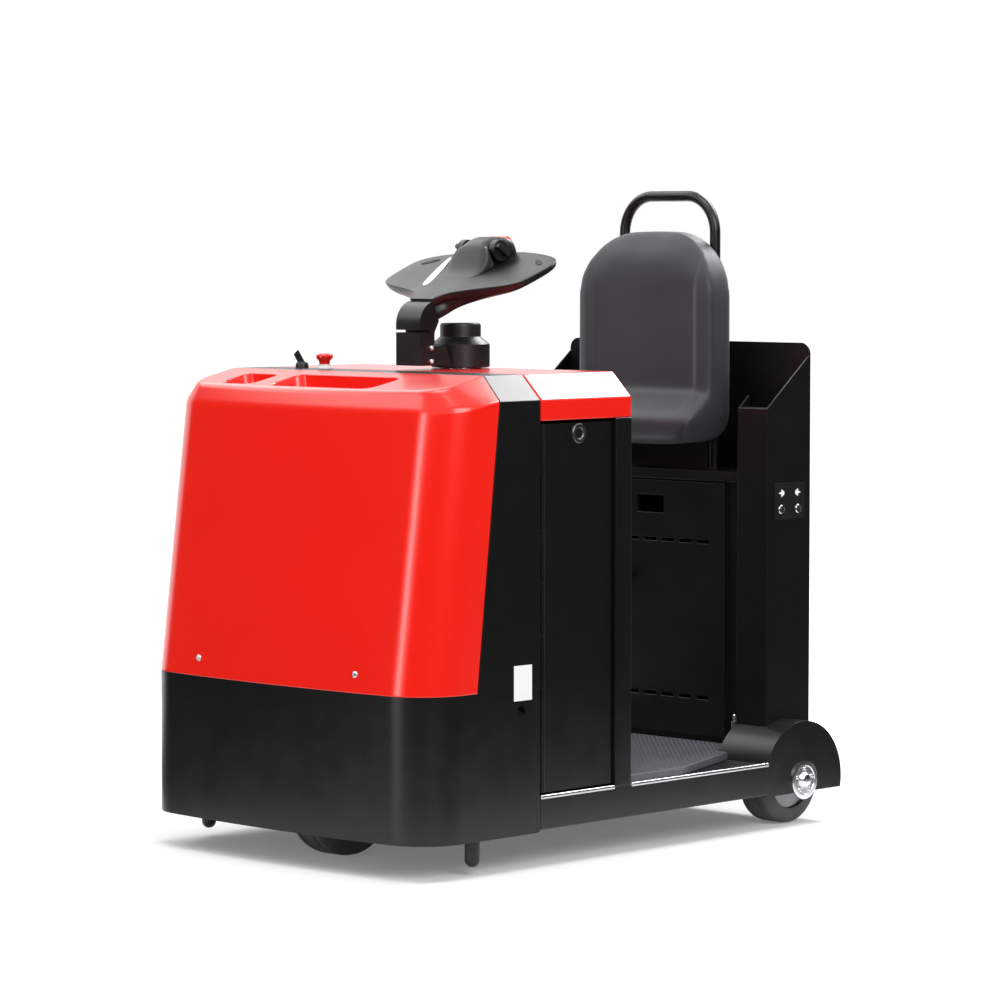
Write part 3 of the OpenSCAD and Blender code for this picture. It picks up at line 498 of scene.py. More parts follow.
for finish, slot, widths in DRESSED:
    for node, width in widths.items():
        piece = dress(node, finish, width)
        print(piece.name, len(piece.data.polygons))
for node in ("belly_pan", "drive_deck", "floor_plate"):
    frame["nodes"][node].data.materials.clear()
    frame["nodes"][node].data.materials.append(frame_paint)

# %% [markdown]
# The hood is one moulded shell whose front leans back, then a crisp band leads over into a
# sloping top, in line with the chamfer of the hoop behind it. So it is lofted: three outlines
# (foot, face and top) stand in their planes, and every column of points between them gets
# small rolls at the band's edges. The closed form then takes two scoops from the top by a
# Boolean, and the open shell gets its wall.

# %% Hood loft
hood_low, hood_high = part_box("hood")
HALF_W, FRONT_Y, FOOT_Z, DECK_Z = hood_high.x, hood_low.y, hood_low.z, hood_high.z
BOW_R, CORNER_R, CHAMFER_W, CHAMFER_H = 3.2, 0.100, 0.048, 0.047
FACE_LEAN, FACE_Z, RIM_AT, RIM_Z = 0.070, DECK_Z - 0.065, 0.084, DECK_Z - 0.029
SEAM_LOW, SEAM_HIGH, SEAM_GAP = 0.156, 0.215, 0.002
ROLL_R, FOLD_R, CORNER_STEPS, BOW_STEPS, ROLL_STEPS = 0.009, 0.004, 20, 12, 5
ROLL_LIMIT, HEM_SHARE, TOP_INSET, FOLD_FROM, FOLD_TO = 0.48, 0.004, 0.049, 0.085, 0.012


def soft_step(value, start, end):
    share = min(1, max(0, (value - start) / (end - start)))
    return share * share * (3 - 2 * share)


def seam_at(z):
    """The hood's rear edge, which leans back from the foot to the hoop's shoulder."""
    shoulder = DECK_Z - CHAMFER_H - FOOT_Z
    return FRONT_Y + SEAM_LOW + (SEAM_HIGH - SEAM_LOW) * (z - FOOT_Z) / shoulder - SEAM_GAP


def front_outline(inset, shift, rear):
    """The bowed front in plan, from the left rear round to the right rear."""
    bow_y, corner_x = FRONT_Y + BOW_R + shift, HALF_W - CORNER_R
    corner_y = bow_y - math.sqrt((BOW_R - CORNER_R) ** 2 - corner_x ** 2)
    tilt = math.asin(corner_x / (BOW_R - CORNER_R))
    half = [(HALF_W - inset, rear)]
    for i in range(CORNER_STEPS + 1):
        a = -(math.pi / 2 - tilt) * i / CORNER_STEPS
        radius = CORNER_R - inset
        half.append((corner_x + radius * math.cos(a), corner_y + radius * math.sin(a)))
    for i in range(1, BOW_STEPS):
        a = -math.pi / 2 + tilt * (1 - i / BOW_STEPS)
        half.append(((BOW_R - inset) * math.cos(a), bow_y + (BOW_R - inset) * math.sin(a)))
    return half + [(0, bow_y - BOW_R + inset)] + [(-x, y) for x, y in reversed(half)]


def tilted(points, y0, z0, rear_z, rear_y):
    """Puts a plan outline into the sloping plane from (y0, z0) up to (rear_y, rear_z)."""
    run = rear_y - y0
    slope = math.hypot(run, rear_z - z0)
    return [Vector((x, y0 + (y - y0) * run / slope, z0 + (y - y0) * (rear_z - z0) / slope))
            for x, y in points]


def slope_rear(y0, z0, rear_y, rear_z):
    return y0 + math.hypot(rear_y - y0, rear_z - z0)


shoulder_z, rear_y = DECK_Z - CHAMFER_H, seam_at(DECK_Z)
face_y, top_y = FRONT_Y + FACE_LEAN, FRONT_Y + RIM_AT
foot_ring = [Vector((x, y, FOOT_Z)) for x, y in front_outline(0, 0, seam_at(FOOT_Z))]
face_rear = slope_rear(face_y, FACE_Z, seam_at(shoulder_z), shoulder_z)
face_ring = tilted(front_outline(0, FACE_LEAN, face_rear), face_y, FACE_Z, shoulder_z, seam_at(shoulder_z))


def top_ring(inset):
    outline = front_outline(CHAMFER_W + inset, RIM_AT - CHAMFER_W, slope_rear(top_y, RIM_Z, rear_y, DECK_Z))
    return tilted(outline, top_y, RIM_Z, DECK_Z, rear_y)


def rolled(before, corner, after, r):
    """Points of a soft corner between two straight runs."""
    start = corner + (before - corner).normalized() * min(r, (before - corner).length * ROLL_LIMIT)
    end = corner + (after - corner).normalized() * min(r, (after - corner).length * ROLL_LIMIT)
    shares = [i / ROLL_STEPS for i in range(ROLL_STEPS + 1)]
    return [start * (1 - t) ** 2 + corner * 2 * t * (1 - t) + end * t * t for t in shares]


columns = []
for foot, face, top, inner in zip(foot_ring, face_ring, top_ring(0), top_ring(TOP_INSET)):
    roll = ROLL_R + (FOLD_R - ROLL_R) * soft_step(face.y, rear_y - FOLD_FROM, rear_y - FOLD_TO)
    edge = foot.lerp(face, HEM_SHARE)
    columns.append([foot, edge] + rolled(edge, face, top, roll) + rolled(face, top, inner, roll))
hood_bm = bmesh.new()
grid = [[hood_bm.verts.new(v) for v in column] for column in columns]
for near, far in zip(grid, grid[1:]):
    for i in range(len(near) - 1):
        hood_bm.faces.new((near[i], far[i], far[i + 1], near[i + 1]))
top_face = hood_bm.faces.new([column[-1] for column in grid])
hood_bm.faces.new([column[0] for column in grid])
hood_bm.faces.new(grid[0] + list(reversed(grid[-1])))
bmesh.ops.recalc_face_normals(hood_bm, faces=hood_bm.faces)
top_normal, top_point = top_face.normal.copy(), top_face.calc_center_median()
print("hood loft", len(hood_bm.faces), "faces, top faces", [round(v, 3) for v in top_normal])

# %% [markdown]
# The tray is a soft scoop for papers with a small pocket beside it. Each scoop starts as a box
# whose floor is drawn in, so that its walls slope, and its edges are rounded before the cut.

# %% Tray scoops
TRAY = ((-0.138, -0.541, 0.866), (0.205, -0.436, 1.0), 0.030, 0.060, 0.012, 0.022)
POCKET = ((-0.285, -0.536, 0.874), (-0.158, -0.440, 1.0), 0.034, 0.014, 0.012, 0.020)


def add_scoop(bm, low, high, left_slope, right_slope, end_slope, soft):
    made = add_block(bm, low, high)
    middle = (Vector(high) + Vector(low)) / 2
    floor = [v for v in made if v.co.z < middle.z]
    for vert in floor:
        vert.co.x += left_slope if vert.co.x < middle.x else -right_slope
        vert.co.y += end_slope if vert.co.y < middle.y else -end_slope
    round_edges(bm, edges_of(floor), soft, 5)


def carve(bm, cutter):
    """Cuts one mesh out of another and gives back the result."""
    body, tool = add_object("carved", bm), add_object("cutter", cutter)
    cut = body.modifiers.new("cut", "BOOLEAN")
    cut.operation, cut.solver, cut.object = "DIFFERENCE", "EXACT", tool
    result = bmesh.new()
    result.from_mesh(evaluated_mesh(body))
    discard(body)
    discard(tool)
    return result


scoop_bm = bmesh.new()
add_scoop(scoop_bm, *TRAY)
add_scoop(scoop_bm, *POCKET)
hood_bm = carve(hood_bm, scoop_bm)
bmesh.ops.remove_doubles(hood_bm, verts=hood_bm.verts, dist=0.00005)
print("scooped hood", len(hood_bm.faces), "faces")

# %% Hood shell
SCOOP_SIDE, SCOOP_FRONT, SCOOP_BACK, ON_TOP_D, RIM_R = 0.29, -0.545, -0.434, 0.0002, 0.005
OPEN_SIDE, BACK_AREA, FOOT_BELOW, WALL_T = 0.9, 0.1, 0.35, 0.004


def is_rim(edge):
    """An edge of a scoop where it meets the sloping top."""
    middle = (edge.verts[0].co + edge.verts[1].co) / 2
    level = all(abs((v.co - top_point).dot(top_normal)) < ON_TOP_D for v in edge.verts)
    return level and abs(middle.x) < SCOOP_SIDE and SCOOP_FRONT < middle.y < SCOOP_BACK


def add_wall(piece, thickness):
    """Gives an open skin its wall, before the normals are weighted."""
    wall = piece.modifiers.new("wall", "SOLIDIFY")
    wall.thickness, wall.offset = thickness, -1
    wall.use_even_offset = True
    piece.modifiers.move(len(piece.modifiers) - 1, 0)


round_edges(hood_bm, edges_over(hood_bm, 20, is_rim), RIM_R, 3)
open_faces = [f for f in hood_bm.faces if f.normal.z < -OPEN_SIDE or f.normal.y > OPEN_SIDE]
open_faces = [f for f in open_faces if f.calc_center_median().z < FOOT_BELOW or f.calc_area() > BACK_AREA]
bmesh.ops.delete(hood_bm, geom=open_faces, context="FACES")
hood = make_piece("hood_shell", hood_bm, "chassis", hood_paint, ["hood"], sharp=40)
add_wall(hood, WALL_T)
print("hood shell", len(hood.data.polygons), "faces; opened", len(open_faces))

# %% [markdown]
# The battery cover is a folded lid. Its outside is convex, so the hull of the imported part's
# points gives its skin. The folds are rounded, and the skin gets its wall like the hood.

# %% Battery cover
HULL_MERGE, HULL_FLAT_DEG, LID_FOLD_R, OPEN_FACING = 0.0005, 1.5, 0.004, -0.98


def hull_of(node):
    source = copy_of(node)
    bm = bmesh.new()
    for vert in source.verts:
        bm.verts.new(vert.co)
    source.free()
    bmesh.ops.remove_doubles(bm, verts=bm.verts, dist=HULL_MERGE)
    bmesh.ops.convex_hull(bm, input=bm.verts)
    inner = [v for v in bm.verts if not v.link_faces]
    bmesh.ops.delete(bm, geom=inner, context="VERTS")
    bmesh.ops.dissolve_limit(bm, angle_limit=math.radians(HULL_FLAT_DEG), verts=bm.verts, edges=bm.edges)
    bmesh.ops.recalc_face_normals(bm, faces=bm.faces)
    return bm


cover_bm = hull_of("battery_cover")
round_edges(cover_bm, edges_over(cover_bm, 25), LID_FOLD_R, 3)
lid_opening = [f for f in cover_bm.faces if min(f.normal.y, f.normal.z) < OPEN_FACING]
bmesh.ops.delete(cover_bm, geom=lid_opening, context="FACES")
cover = make_piece("battery_lid", cover_bm, "chassis", hood_paint, ["battery_cover"])
add_wall(cover, WALL_T)
print("battery lid", len(cover.data.polygons), "faces")

# %% [markdown]
# Turned parts are drawn as half a profile and spun round their axis, as on a lathe. The same
# helper makes tyres, axle caps, the steering boss, locks and buttons. It merges the points
# that meet at a pole and turns the faces outwards.

# %% Lathe helper
POLE_D = 0.000002


def turn(bm, profile, centre, axis, steps=48):
    centre, axis = Vector(centre), Vector(axis).normalized()
    side = axis.orthogonal().normalized()
    verts = [bm.verts.new(centre + axis * along + side * radius) for along, radius in profile]
    edges = [bm.edges.new(pair) for pair in zip(verts, verts[1:])]
    before = set(bm.faces)
    bmesh.ops.spin(bm, geom=verts + edges, cent=centre, axis=axis, angle=2 * math.pi, steps=steps,
                   use_merge=True)
    faces = [f for f in bm.faces if f not in before]
    ring = list({v for f in faces for v in f.verts})
    bmesh.ops.remove_doubles(bm, verts=ring, dist=POLE_D)
    bmesh.ops.recalc_face_normals(bm, faces=[f for f in bm.faces if f not in before])


def middle_of(node):
    low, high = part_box(node)
    return (low + high) / 2, high - low


# %% Tyres
DRIVE_RUBBER, REAR_RUBBER, TYRE_SOFT, TYRE_GROOVE = 0.038, 0.030, 0.010, 0.0025


def tyre_profile(half_w, outer, inner, soft, groove):
    side = [(-half_w, inner), (-half_w, outer - soft * 1.6), (-half_w * 0.93, outer - soft * 0.7),
            (-half_w * 0.80, outer - soft * 0.18), (-half_w * 0.55, outer)]
    cut = [(-half_w * 0.50, outer), (-half_w * 0.48, outer - groove), (-half_w * 0.42, outer - groove),
           (-half_w * 0.40, outer)]
    half = side + cut
    return half + [(-along, radius) for along, radius in reversed(half)] + [half[0]]


for node in ("drive_tyre", "left_tyre", "right_tyre"):
    centre, size = middle_of(node)
    outer = size.z / 2
    tyre_bm = bmesh.new()
    inner = outer - (DRIVE_RUBBER if node == "drive_tyre" else REAR_RUBBER)
    turn(tyre_bm, tyre_profile(size.x / 2, outer, inner, TYRE_SOFT, TYRE_GROOVE), centre, (1, 0, 0), 72)
    make_piece(node + "_moulded", tyre_bm, body_of(node), tyre_rubber, [node], flat=False)
    print(node, "outer", round(outer, 4))

# %% Axle caps
ROD_R, CAP_R, CAP_T = 0.0125, 0.0385, 0.005
CAP_BOLTS, BOLT_RING_R, BOLT_TURN, BOLT_R = 5, 0.0232, 0.3, 0.0042
for node, sign in (("left_axle", 1), ("right_axle", -1)):
    low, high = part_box(node)
    outer_x, rod_end = high.x if sign > 0 else low.x, high.x - low.x
    centre = Vector((outer_x, (low.y + high.y) / 2, (low.z + high.z) / 2))
    cap_bm = bmesh.new()
    turn(cap_bm, [(-rod_end, 0), (-rod_end, ROD_R), (-CAP_T, ROD_R), (-CAP_T, CAP_R), (-0.001, CAP_R),
                  (0, 0.0365), (0, 0.030), (-0.0018, 0.028), (-0.0018, 0.018), (0.001, 0.0155),
                  (0.005, 0.0125), (0.0065, 0.009), (0.007, 0)], centre, (sign, 0, 0), 64)
    for i in range(CAP_BOLTS):
        angle = 2 * math.pi * i / CAP_BOLTS + BOLT_TURN
        seat = centre + Vector((0, math.cos(angle), math.sin(angle))) * BOLT_RING_R
        turn(cap_bm, [(-0.003, 0), (-0.003, BOLT_R), (0.0006, BOLT_R), (0.0018, 0.0026), (0.0018, 0)],
             seat, (sign, 0, 0), 12)
    make_piece(node + "_cap", cap_bm, "chassis", bright_steel, [node])
print("axle caps with bolts")

# %% [markdown]
# The steering boss is a stepped turning under the tiller. The emergency stop flares upwards
# from a pale collar, the key leans in its switch, and the lock on each door is a dull steel
# ring round a dark cylinder.

# %% Boss
BOSS_BORE_R, BOSS_DROP, BOSS_SOFT, BOSS_CAP_R = 0.0141, 0.0042, 0.002, 0.0400
base, size = foot_of("steering_boss")
tall, boss_r = size.z, size.x / 2
boss_bm = bmesh.new()
turn(boss_bm, [(0.004, BOSS_BORE_R), (-BOSS_DROP, 0.030), (-BOSS_DROP, boss_r - BOSS_SOFT),
               (-0.002, boss_r), (tall * 0.50, boss_r), (tall * 0.53, boss_r - BOSS_SOFT),
               (tall * 0.64, 0.044), (tall * 0.68, 0.0405), (tall * 0.72, BOSS_CAP_R),
               (tall * 0.94, BOSS_CAP_R), (tall * 0.985, 0.0385), (tall, 0.0365), (tall * 0.985, 0.034),
               (tall * 0.985, 0)],
     base, (0, 0, 1), 72)
make_piece("steering_boss_turned", boss_bm, "steering", black_plastic, ["steering_boss"])
print("boss", round(tall, 3), "m tall")

# %% Stop, key and locks
KEY_R, BLADE_SIZE, BLADE_SOFT = 0.013, (0.016, 0.0035, 0.030), 0.0014
BLADE_UP, BLADE_SEAT, BLADE_LEAN_DEG = 0.013, 0.009, -38
base, size = foot_of("emergency_stop")
stop_r, stop_h = size.x / 2, size.z
stop_bm = bmesh.new()
turn(stop_bm, [(stop_h * 0.28, 0), (stop_h * 0.28, stop_r * 0.60), (stop_h * 0.5, stop_r * 0.66),
               (stop_h * 0.66, stop_r * 0.92), (stop_h * 0.72, stop_r), (stop_h * 0.86, stop_r),
               (stop_h * 0.94, stop_r * 0.90), (stop_h, stop_r * 0.55), (stop_h, 0)], base, (0, 0, 1), 40)
make_piece("emergency_stop_cap", stop_bm, "chassis", hood_paint, ["emergency_stop"])
collar_bm = bmesh.new()
turn(collar_bm, [(0, 0), (0, stop_r * 0.95), (stop_h * 0.08, stop_r * 0.95), (stop_h * 0.12, stop_r * 0.80),
                 (stop_h * 0.28, stop_r * 0.74), (stop_h * 0.30, stop_r * 0.5), (stop_h * 0.30, 0)],
     base, (0, 0, 1), 40)
make_piece("emergency_stop_collar", collar_bm, "chassis", white_enamel)

base = foot_of("key_switch")[0]
key_bm = bmesh.new()
turn(key_bm, [(0, 0), (0, KEY_R), (0.006, KEY_R), (0.010, 0.0115), (0.012, 0.010), (0.012, 0)],
     base, (0, 0, 1), 32)
blade = bmesh.ops.create_cube(key_bm, size=1)["verts"]
bmesh.ops.scale(key_bm, verts=blade, vec=BLADE_SIZE)
round_edges(key_bm, edges_of(blade), BLADE_SOFT, 2)
blade = [v for v in key_bm.verts if v.co.z < base.z / 2]
bmesh.ops.translate(key_bm, verts=blade, vec=(0, 0, BLADE_UP))
lean = Matrix.Rotation(math.radians(BLADE_LEAN_DEG), 3, "Y")
bmesh.ops.rotate(key_bm, verts=blade, cent=(0, 0, 0), matrix=lean)
bmesh.ops.translate(key_bm, verts=blade, vec=base + Vector((0, 0, BLADE_SEAT)))
make_piece("key_switch_turned", key_bm, "chassis", black_plastic, ["key_switch"])

for node, sign in (("left_lock", 1), ("right_lock", -1)):
    low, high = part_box(node)
    face_x = low.x if sign > 0 else high.x
    centre, r = Vector((face_x, (low.y + high.y) / 2, (low.z + high.z) / 2)), (high.z - low.z) / 2
    ring_bm = bmesh.new()
    turn(ring_bm, [(0, r * 0.50), (0, r), (0.0025, r), (0.004, r * 0.92), (0.004, r * 0.62),
                   (0.0015, r * 0.50), (0, r * 0.50)], centre, (sign, 0, 0), 48)
    make_piece(node + "_ring", ring_bm, body_of(node), lock_steel, [node])
    core_bm = bmesh.new()
    turn(core_bm, [(0, 0), (0, r * 0.57), (0.001, r * 0.57), (0.0014, r * 0.44), (0.0014, 0)], centre,
         (sign, 0, 0), 40)
    make_piece(node + "_core", core_bm, body_of(node), black_plastic)
print("turned pieces done")

# %% [markdown]
# The steering head is a wide shell shaped like a ray: a thick keel in the middle that thins
# out to two wing tips. It is lofted: rings of the cross-section stand along its length,
# neighbours are bridged, and a subdivision surface smooths the skin. Creases hold the crisp
# outline of the flat top and the lower fold, and the top dips beside the pod for the thumbs.
# The rings sit in the head's own tilted frame, with the nose at its origin.

# %% Steering head
HEAD_FRAME = Matrix.Translation((0, -0.234, 1.059)) @ Matrix.Rotation(math.radians(21.80), 4, "X")
HEAD_LENGTH, HEAD_HALF, WING_T, KEEL_T = 0.24125, 0.190, 0.020, 0.046
HEAD_SHARES = [
    (0, 0.165, 0.13, 1), (0.015, 0.168, 0.131, 1), (0.08, 0.19, 0.14, 1), (0.13, 0.25, 0.15, 0.98),
    (0.18, 0.38, 0.16, 0.95), (0.23, 0.59, 0.18, 0.91), (0.28, 0.79, 0.20, 0.86), (0.32, 0.91, 0.22, 0.82),
    (0.38, 0.98, 0.25, 0.76), (0.47, 1.01, 0.28, 0.68), (0.60, 1.02, 0.30, 0.58), (0.70, 1.02, 0.30, 0.54),
    (0.78, 1.01, 0.29, 0.51), (0.84, 0.97, 0.27, 0.49), (0.89, 0.88, 0.25, 0.475),
    (0.94, 0.72, 0.23, 0.465), (0.97, 0.56, 0.22, 0.46), (0.988, 0.43, 0.20, 0.455), (1, 0.33, 0.18, 0.45)]
TOP_COLUMNS = ((0, 0), (0.22, 0.6), (0.31, 1), (0.42, 0.35), (0.60, 0))
DIP_AT, DIP_LENGTH, DIP_D, UNDERCUT_W, RIDGE_R = 0.78, 0.10, 0.008, 0.020, 0.0015
RAIL_CREASES, END_CREASE = ((5, 0.9), (6, 0.9), (7, 0.3), (8, 0.5), (10, 0.5)), 0.8


def add_ring(bm, outline, along):
    """A closed ring of points, upright in the head's frame."""
    verts = [bm.verts.new(HEAD_FRAME @ Vector((x, along, z))) for x, z in outline]
    return verts, [bm.edges.new(pair) for pair in zip(verts, verts[1:] + verts[:1])]


def add_head_ring(bm, row):
    half, keel_half, keel = row[1] * HEAD_HALF, row[2] * HEAD_HALF, row[3] * KEEL_T
    dip = DIP_D * math.exp(-((row[0] - DIP_AT) / DIP_LENGTH) ** 2)
    right = [(share * half, -dip * deep) for share, deep in TOP_COLUMNS]
    under = min(UNDERCUT_W, half * 0.4)
    right += [(half - RIDGE_R, 0), (half, -RIDGE_R), (half - under * 0.25, -WING_T * 0.62),
              (half - under, -WING_T), ((half + keel_half) / 2, -(WING_T + keel) / 2), (keel_half, -keel)]
    outline = right + [(0, -keel)] + [(-x, z) for x, z in reversed(right[1:])]
    return add_ring(bm, outline, row[0] * HEAD_LENGTH)


head_bm = bmesh.new()
crease = head_bm.edges.layers.float.new("crease_edge")
rings = [add_head_ring(head_bm, row) for row in HEAD_SHARES]
for (near, near_edges), (far, far_edges) in zip(rings, rings[1:]):
    bmesh.ops.bridge_loops(head_bm, edges=near_edges + far_edges)
    for rail, hold in RAIL_CREASES:
        for place in (rail, len(near) - rail):
            edge = head_bm.edges.get((near[place], far[place]))
            if edge:
                edge[crease] = hold
for _, edges in (rings[0], rings[-1]):
    bmesh.ops.contextual_create(head_bm, geom=edges)
    for edge in edges:
        edge[crease] = END_CREASE
bmesh.ops.recalc_face_normals(head_bm, faces=head_bm.faces)
head = make_piece("steering_head_shell", head_bm, "steering", black_plastic,
                  ["steering_head"], sharp=180, flat=False)
add_smoothing(head, 2)
print("head rings", len(rings))

# %% Neck under the head
NECK_WIDER, NECK_SOFT = 1.18, 0.004
arm_bm = copy_of("steering_arm")
bmesh.ops.scale(arm_bm, verts=arm_bm.verts, vec=(NECK_WIDER, 1, 1))
round_edges(arm_bm, edges_over(arm_bm, EDGE_DEG), NECK_SOFT, 3)
make_piece("steering_neck", arm_bm, "steering", black_plastic, ["steering_arm"])
print("neck widened by", NECK_WIDER)

# %% Pod on the head
POD_H, POD_SINK = 0.047, 0.012
POD_ROWS = [
    (0.43, 0.0, 0.040), (0.48, 0.04, 0.045), (0.54, 0.17, 0.049), (0.60, 0.42, 0.051), (0.655, 0.72, 0.051),
    (0.695, 0.88, 0.049), (0.712, 0.92, 0.0368), (0.75, 0.98, 0.036), (0.80, 1, 0.036), (0.86, 0.96, 0.036),
    (0.888, 0.92, 0.0368), (0.905, 0.88, 0.046), (0.94, 0.81, 0.048), (0.985, 0.68, 0.046), (1, 0.5, 0.044)]
POD_ARCH = ((1, -1), (1, 0.30), (0.97, 0.72), (0.84, 0.95), (0.45, 1), (0, 1))


def add_pod_ring(bm, along, up, half):
    height = up * POD_H
    right = [(half * wide, -POD_SINK if tall < 0 else height * tall) for wide, tall in POD_ARCH]
    outline = right + [(-x, z) for x, z in reversed(right[:-1])]
    return add_ring(bm, outline, along * HEAD_LENGTH)[1]


pod_bm = bmesh.new()
pod_rings = [add_pod_ring(pod_bm, *row) for row in POD_ROWS]
for near, far in zip(pod_rings, pod_rings[1:]):
    bmesh.ops.bridge_loops(pod_bm, edges=near + far)
for end in (pod_rings[0], pod_rings[-1]):
    bmesh.ops.contextual_create(pod_bm, geom=end)
bmesh.ops.recalc_face_normals(pod_bm, faces=pod_bm.faces)
pod = make_piece("steering_pod", pod_bm, "steering", black_plastic, sharp=180, flat=False)
add_smoothing(pod, 2)
piece = dress("throttle", black_plastic, 0.0025, 3)
print("pod and", piece.name)

# %% [markdown]
# The platform mat is a rubber slab with small raised studs in a diamond pattern, and a plain
# border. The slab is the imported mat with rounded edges, and the studs are tiny pyramids.

# %% Platform mat
STUD_STEP, STUD_R, STUD_TAPER, STUD_H, STUD_SINK = 0.0125, 0.0042, 0.6, 0.0016, 0.0001
MAT_BORDER, MAT_BEND, MAT_CORNER = 0.014, 0.152, 0.095
dress("floor_mat", mat_rubber, 0.003, 3)
mat_low, mat_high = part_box("floor_mat")
ARCH_IN, ARCH_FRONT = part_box("left_arch")[0].x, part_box("left_arch")[0].y


def on_mat(x, y):
    """Tells whether a stud fits between the borders, which narrow towards the arches."""
    inside = abs(x) < mat_high.x - MAT_BORDER
    past_bend = y - (mat_low.y + MAT_BEND)
    if past_bend > 0:
        bend_run = ARCH_FRONT - mat_low.y - MAT_BEND
        inside = abs(x) < mat_high.x - MAT_BORDER - past_bend * MAT_CORNER / bend_run
    if y > ARCH_FRONT - MAT_BORDER:
        inside = abs(x) < ARCH_IN - MAT_BORDER
    return inside and mat_low.y + MAT_BORDER < y < mat_high.y - MAT_BORDER


stud_bm = bmesh.new()
rows = int((mat_high.y - mat_low.y) / (STUD_STEP / 2))
columns = int((mat_high.x - mat_low.x) / STUD_STEP)
for row in range(rows):
    for column in range(columns + 1):
        x = (column - columns / 2 + 0.5 * (row % 2)) * STUD_STEP
        y = mat_low.y + row * STUD_STEP / 2
        if on_mat(x, y):
            spot = Matrix.Translation((x, y, mat_high.z + STUD_H / 2 - STUD_SINK))
            bmesh.ops.create_cone(stud_bm, cap_ends=True, segments=4, radius1=STUD_R,
                                  radius2=STUD_R * STUD_TAPER, depth=STUD_H, matrix=spot)
make_piece("floor_mat_studs", stud_bm, "chassis", mat_rubber, flat=False)
print("mat rows", rows)

# %% [markdown]
# The lean seat is a foam pad under a grained grey cover: a shallow bucket with a rolled border
# and a ledge at its foot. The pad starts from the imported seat, drawn in a little. A voxel
# remesh gives it an even skin, smoothing rounds it, and Cloth with pressure swells it while
# its flat back is pinned. A cover stretched over foam shows no puckers, so the swelling is
# evened out. Then the top rolls back, and the bucket inside the border is pressed in.

# %% Seat pad helpers
VOXEL, PRESSURE, CLOTH_FRAMES, CLOTH_QUALITY = 0.0055, 4, 20, 5
PINNED_D, SWELL_CAP, EVEN_PASSES, OWN_SHARE, NEAR_SHARE = 0.012, 0.007, 25, 0.4, 0.6


def remeshed(bm):
    """The same form with an even skin of small squares."""
    form = add_object("pad_form", bm)
    skin = form.modifiers.new("skin", "REMESH")
    skin.mode, skin.voxel_size = "VOXEL", VOXEL
    result = bmesh.new()
    result.from_mesh(evaluated_mesh(form))
    discard(form)
    return result


def smooth_skin(bm, factor, passes):
    for _ in range(passes):
        bmesh.ops.smooth_vert(bm, verts=bm.verts, factor=factor, use_axis_x=True, use_axis_y=True,
                              use_axis_z=True)


def swollen(bm, pinned):
    """Blows a closed skin up with Cloth, holds the pinned points, and evens out the swelling."""
    pad = add_object("pad_swell", bm)
    rest = [v.co.copy() for v in pad.data.vertices]
    group = pad.vertex_groups.new(name="held")
    group.add([i for i, p in enumerate(rest) if pinned(p)], 1.0, "REPLACE")
    settings = pad.modifiers.new("cloth", "CLOTH").settings
    settings.use_pressure = True
    settings.uniform_pressure_force = PRESSURE
    settings.vertex_group_mass = "held"
    settings.effector_weights.gravity = 0
    settings.quality = CLOTH_QUALITY
    for step in range(1, CLOTH_FRAMES + 1):
        scene.frame_set(step)
    moved = evaluated_mesh(pad)
    result = bmesh.new()
    result.from_mesh(pad.data)
    result.normal_update()
    result.verts.index_update()
    outward = [v.normal.copy() for v in result.verts]
    pushed = [(end.co - start).dot(n) for n, start, end in zip(outward, rest, moved.vertices)]
    swell = [min(SWELL_CAP, max(0, push)) for push in pushed]
    beside = [[e.other_vert(v).index for e in v.link_edges] for v in result.verts]
    for _ in range(EVEN_PASSES):
        swell = [OWN_SHARE * own + NEAR_SHARE * sum(swell[i] for i in near) / len(near)
                 for own, near in zip(swell, beside)]
    for vert, normal, amount in zip(result.verts, outward, swell):
        vert.co += normal * amount
    print("pad swells by up to", round(max(swell), 4))
    scene.frame_set(1)
    discard(pad)
    return result


# %% Seat pad
SEAT_SHRINK, BACK_PROUD = Vector((0.975, 0.92, 0.98)), 0.001
BUCKET_D, TOP_ROLL, TOP_BACK, BACK_THICK, FRONT_FACING = 0.007, 0.12, 0.030, 0.072, -0.3
BORDER_W, BORDER_LESS, BORDER_SOFT = 0.036, 0.010, 0.012
TOP_FADE, LEDGE_LOW, LEDGE_HIGH = (0.02, 0.13), 0.06, 0.12
seat_low, seat_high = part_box("seat_cushion")
seat_middle, seat_half = (seat_low + seat_high) / 2, (seat_high.x - seat_low.x) / 2
pad_bm = copy_of("seat_cushion")
bmesh.ops.translate(pad_bm, verts=pad_bm.verts, vec=-seat_middle)
bmesh.ops.scale(pad_bm, verts=pad_bm.verts, vec=SEAT_SHRINK)
back_shift = Vector((0, (seat_high.y - seat_low.y) / 2 * (1 - SEAT_SHRINK.y) - BACK_PROUD, 0))
bmesh.ops.translate(pad_bm, verts=pad_bm.verts, vec=seat_middle + back_shift)
pad_bm = remeshed(pad_bm)
smooth_skin(pad_bm, 0.5, 10)
pad_bm = swollen(pad_bm, lambda p: p.y > seat_high.y - PINNED_D)

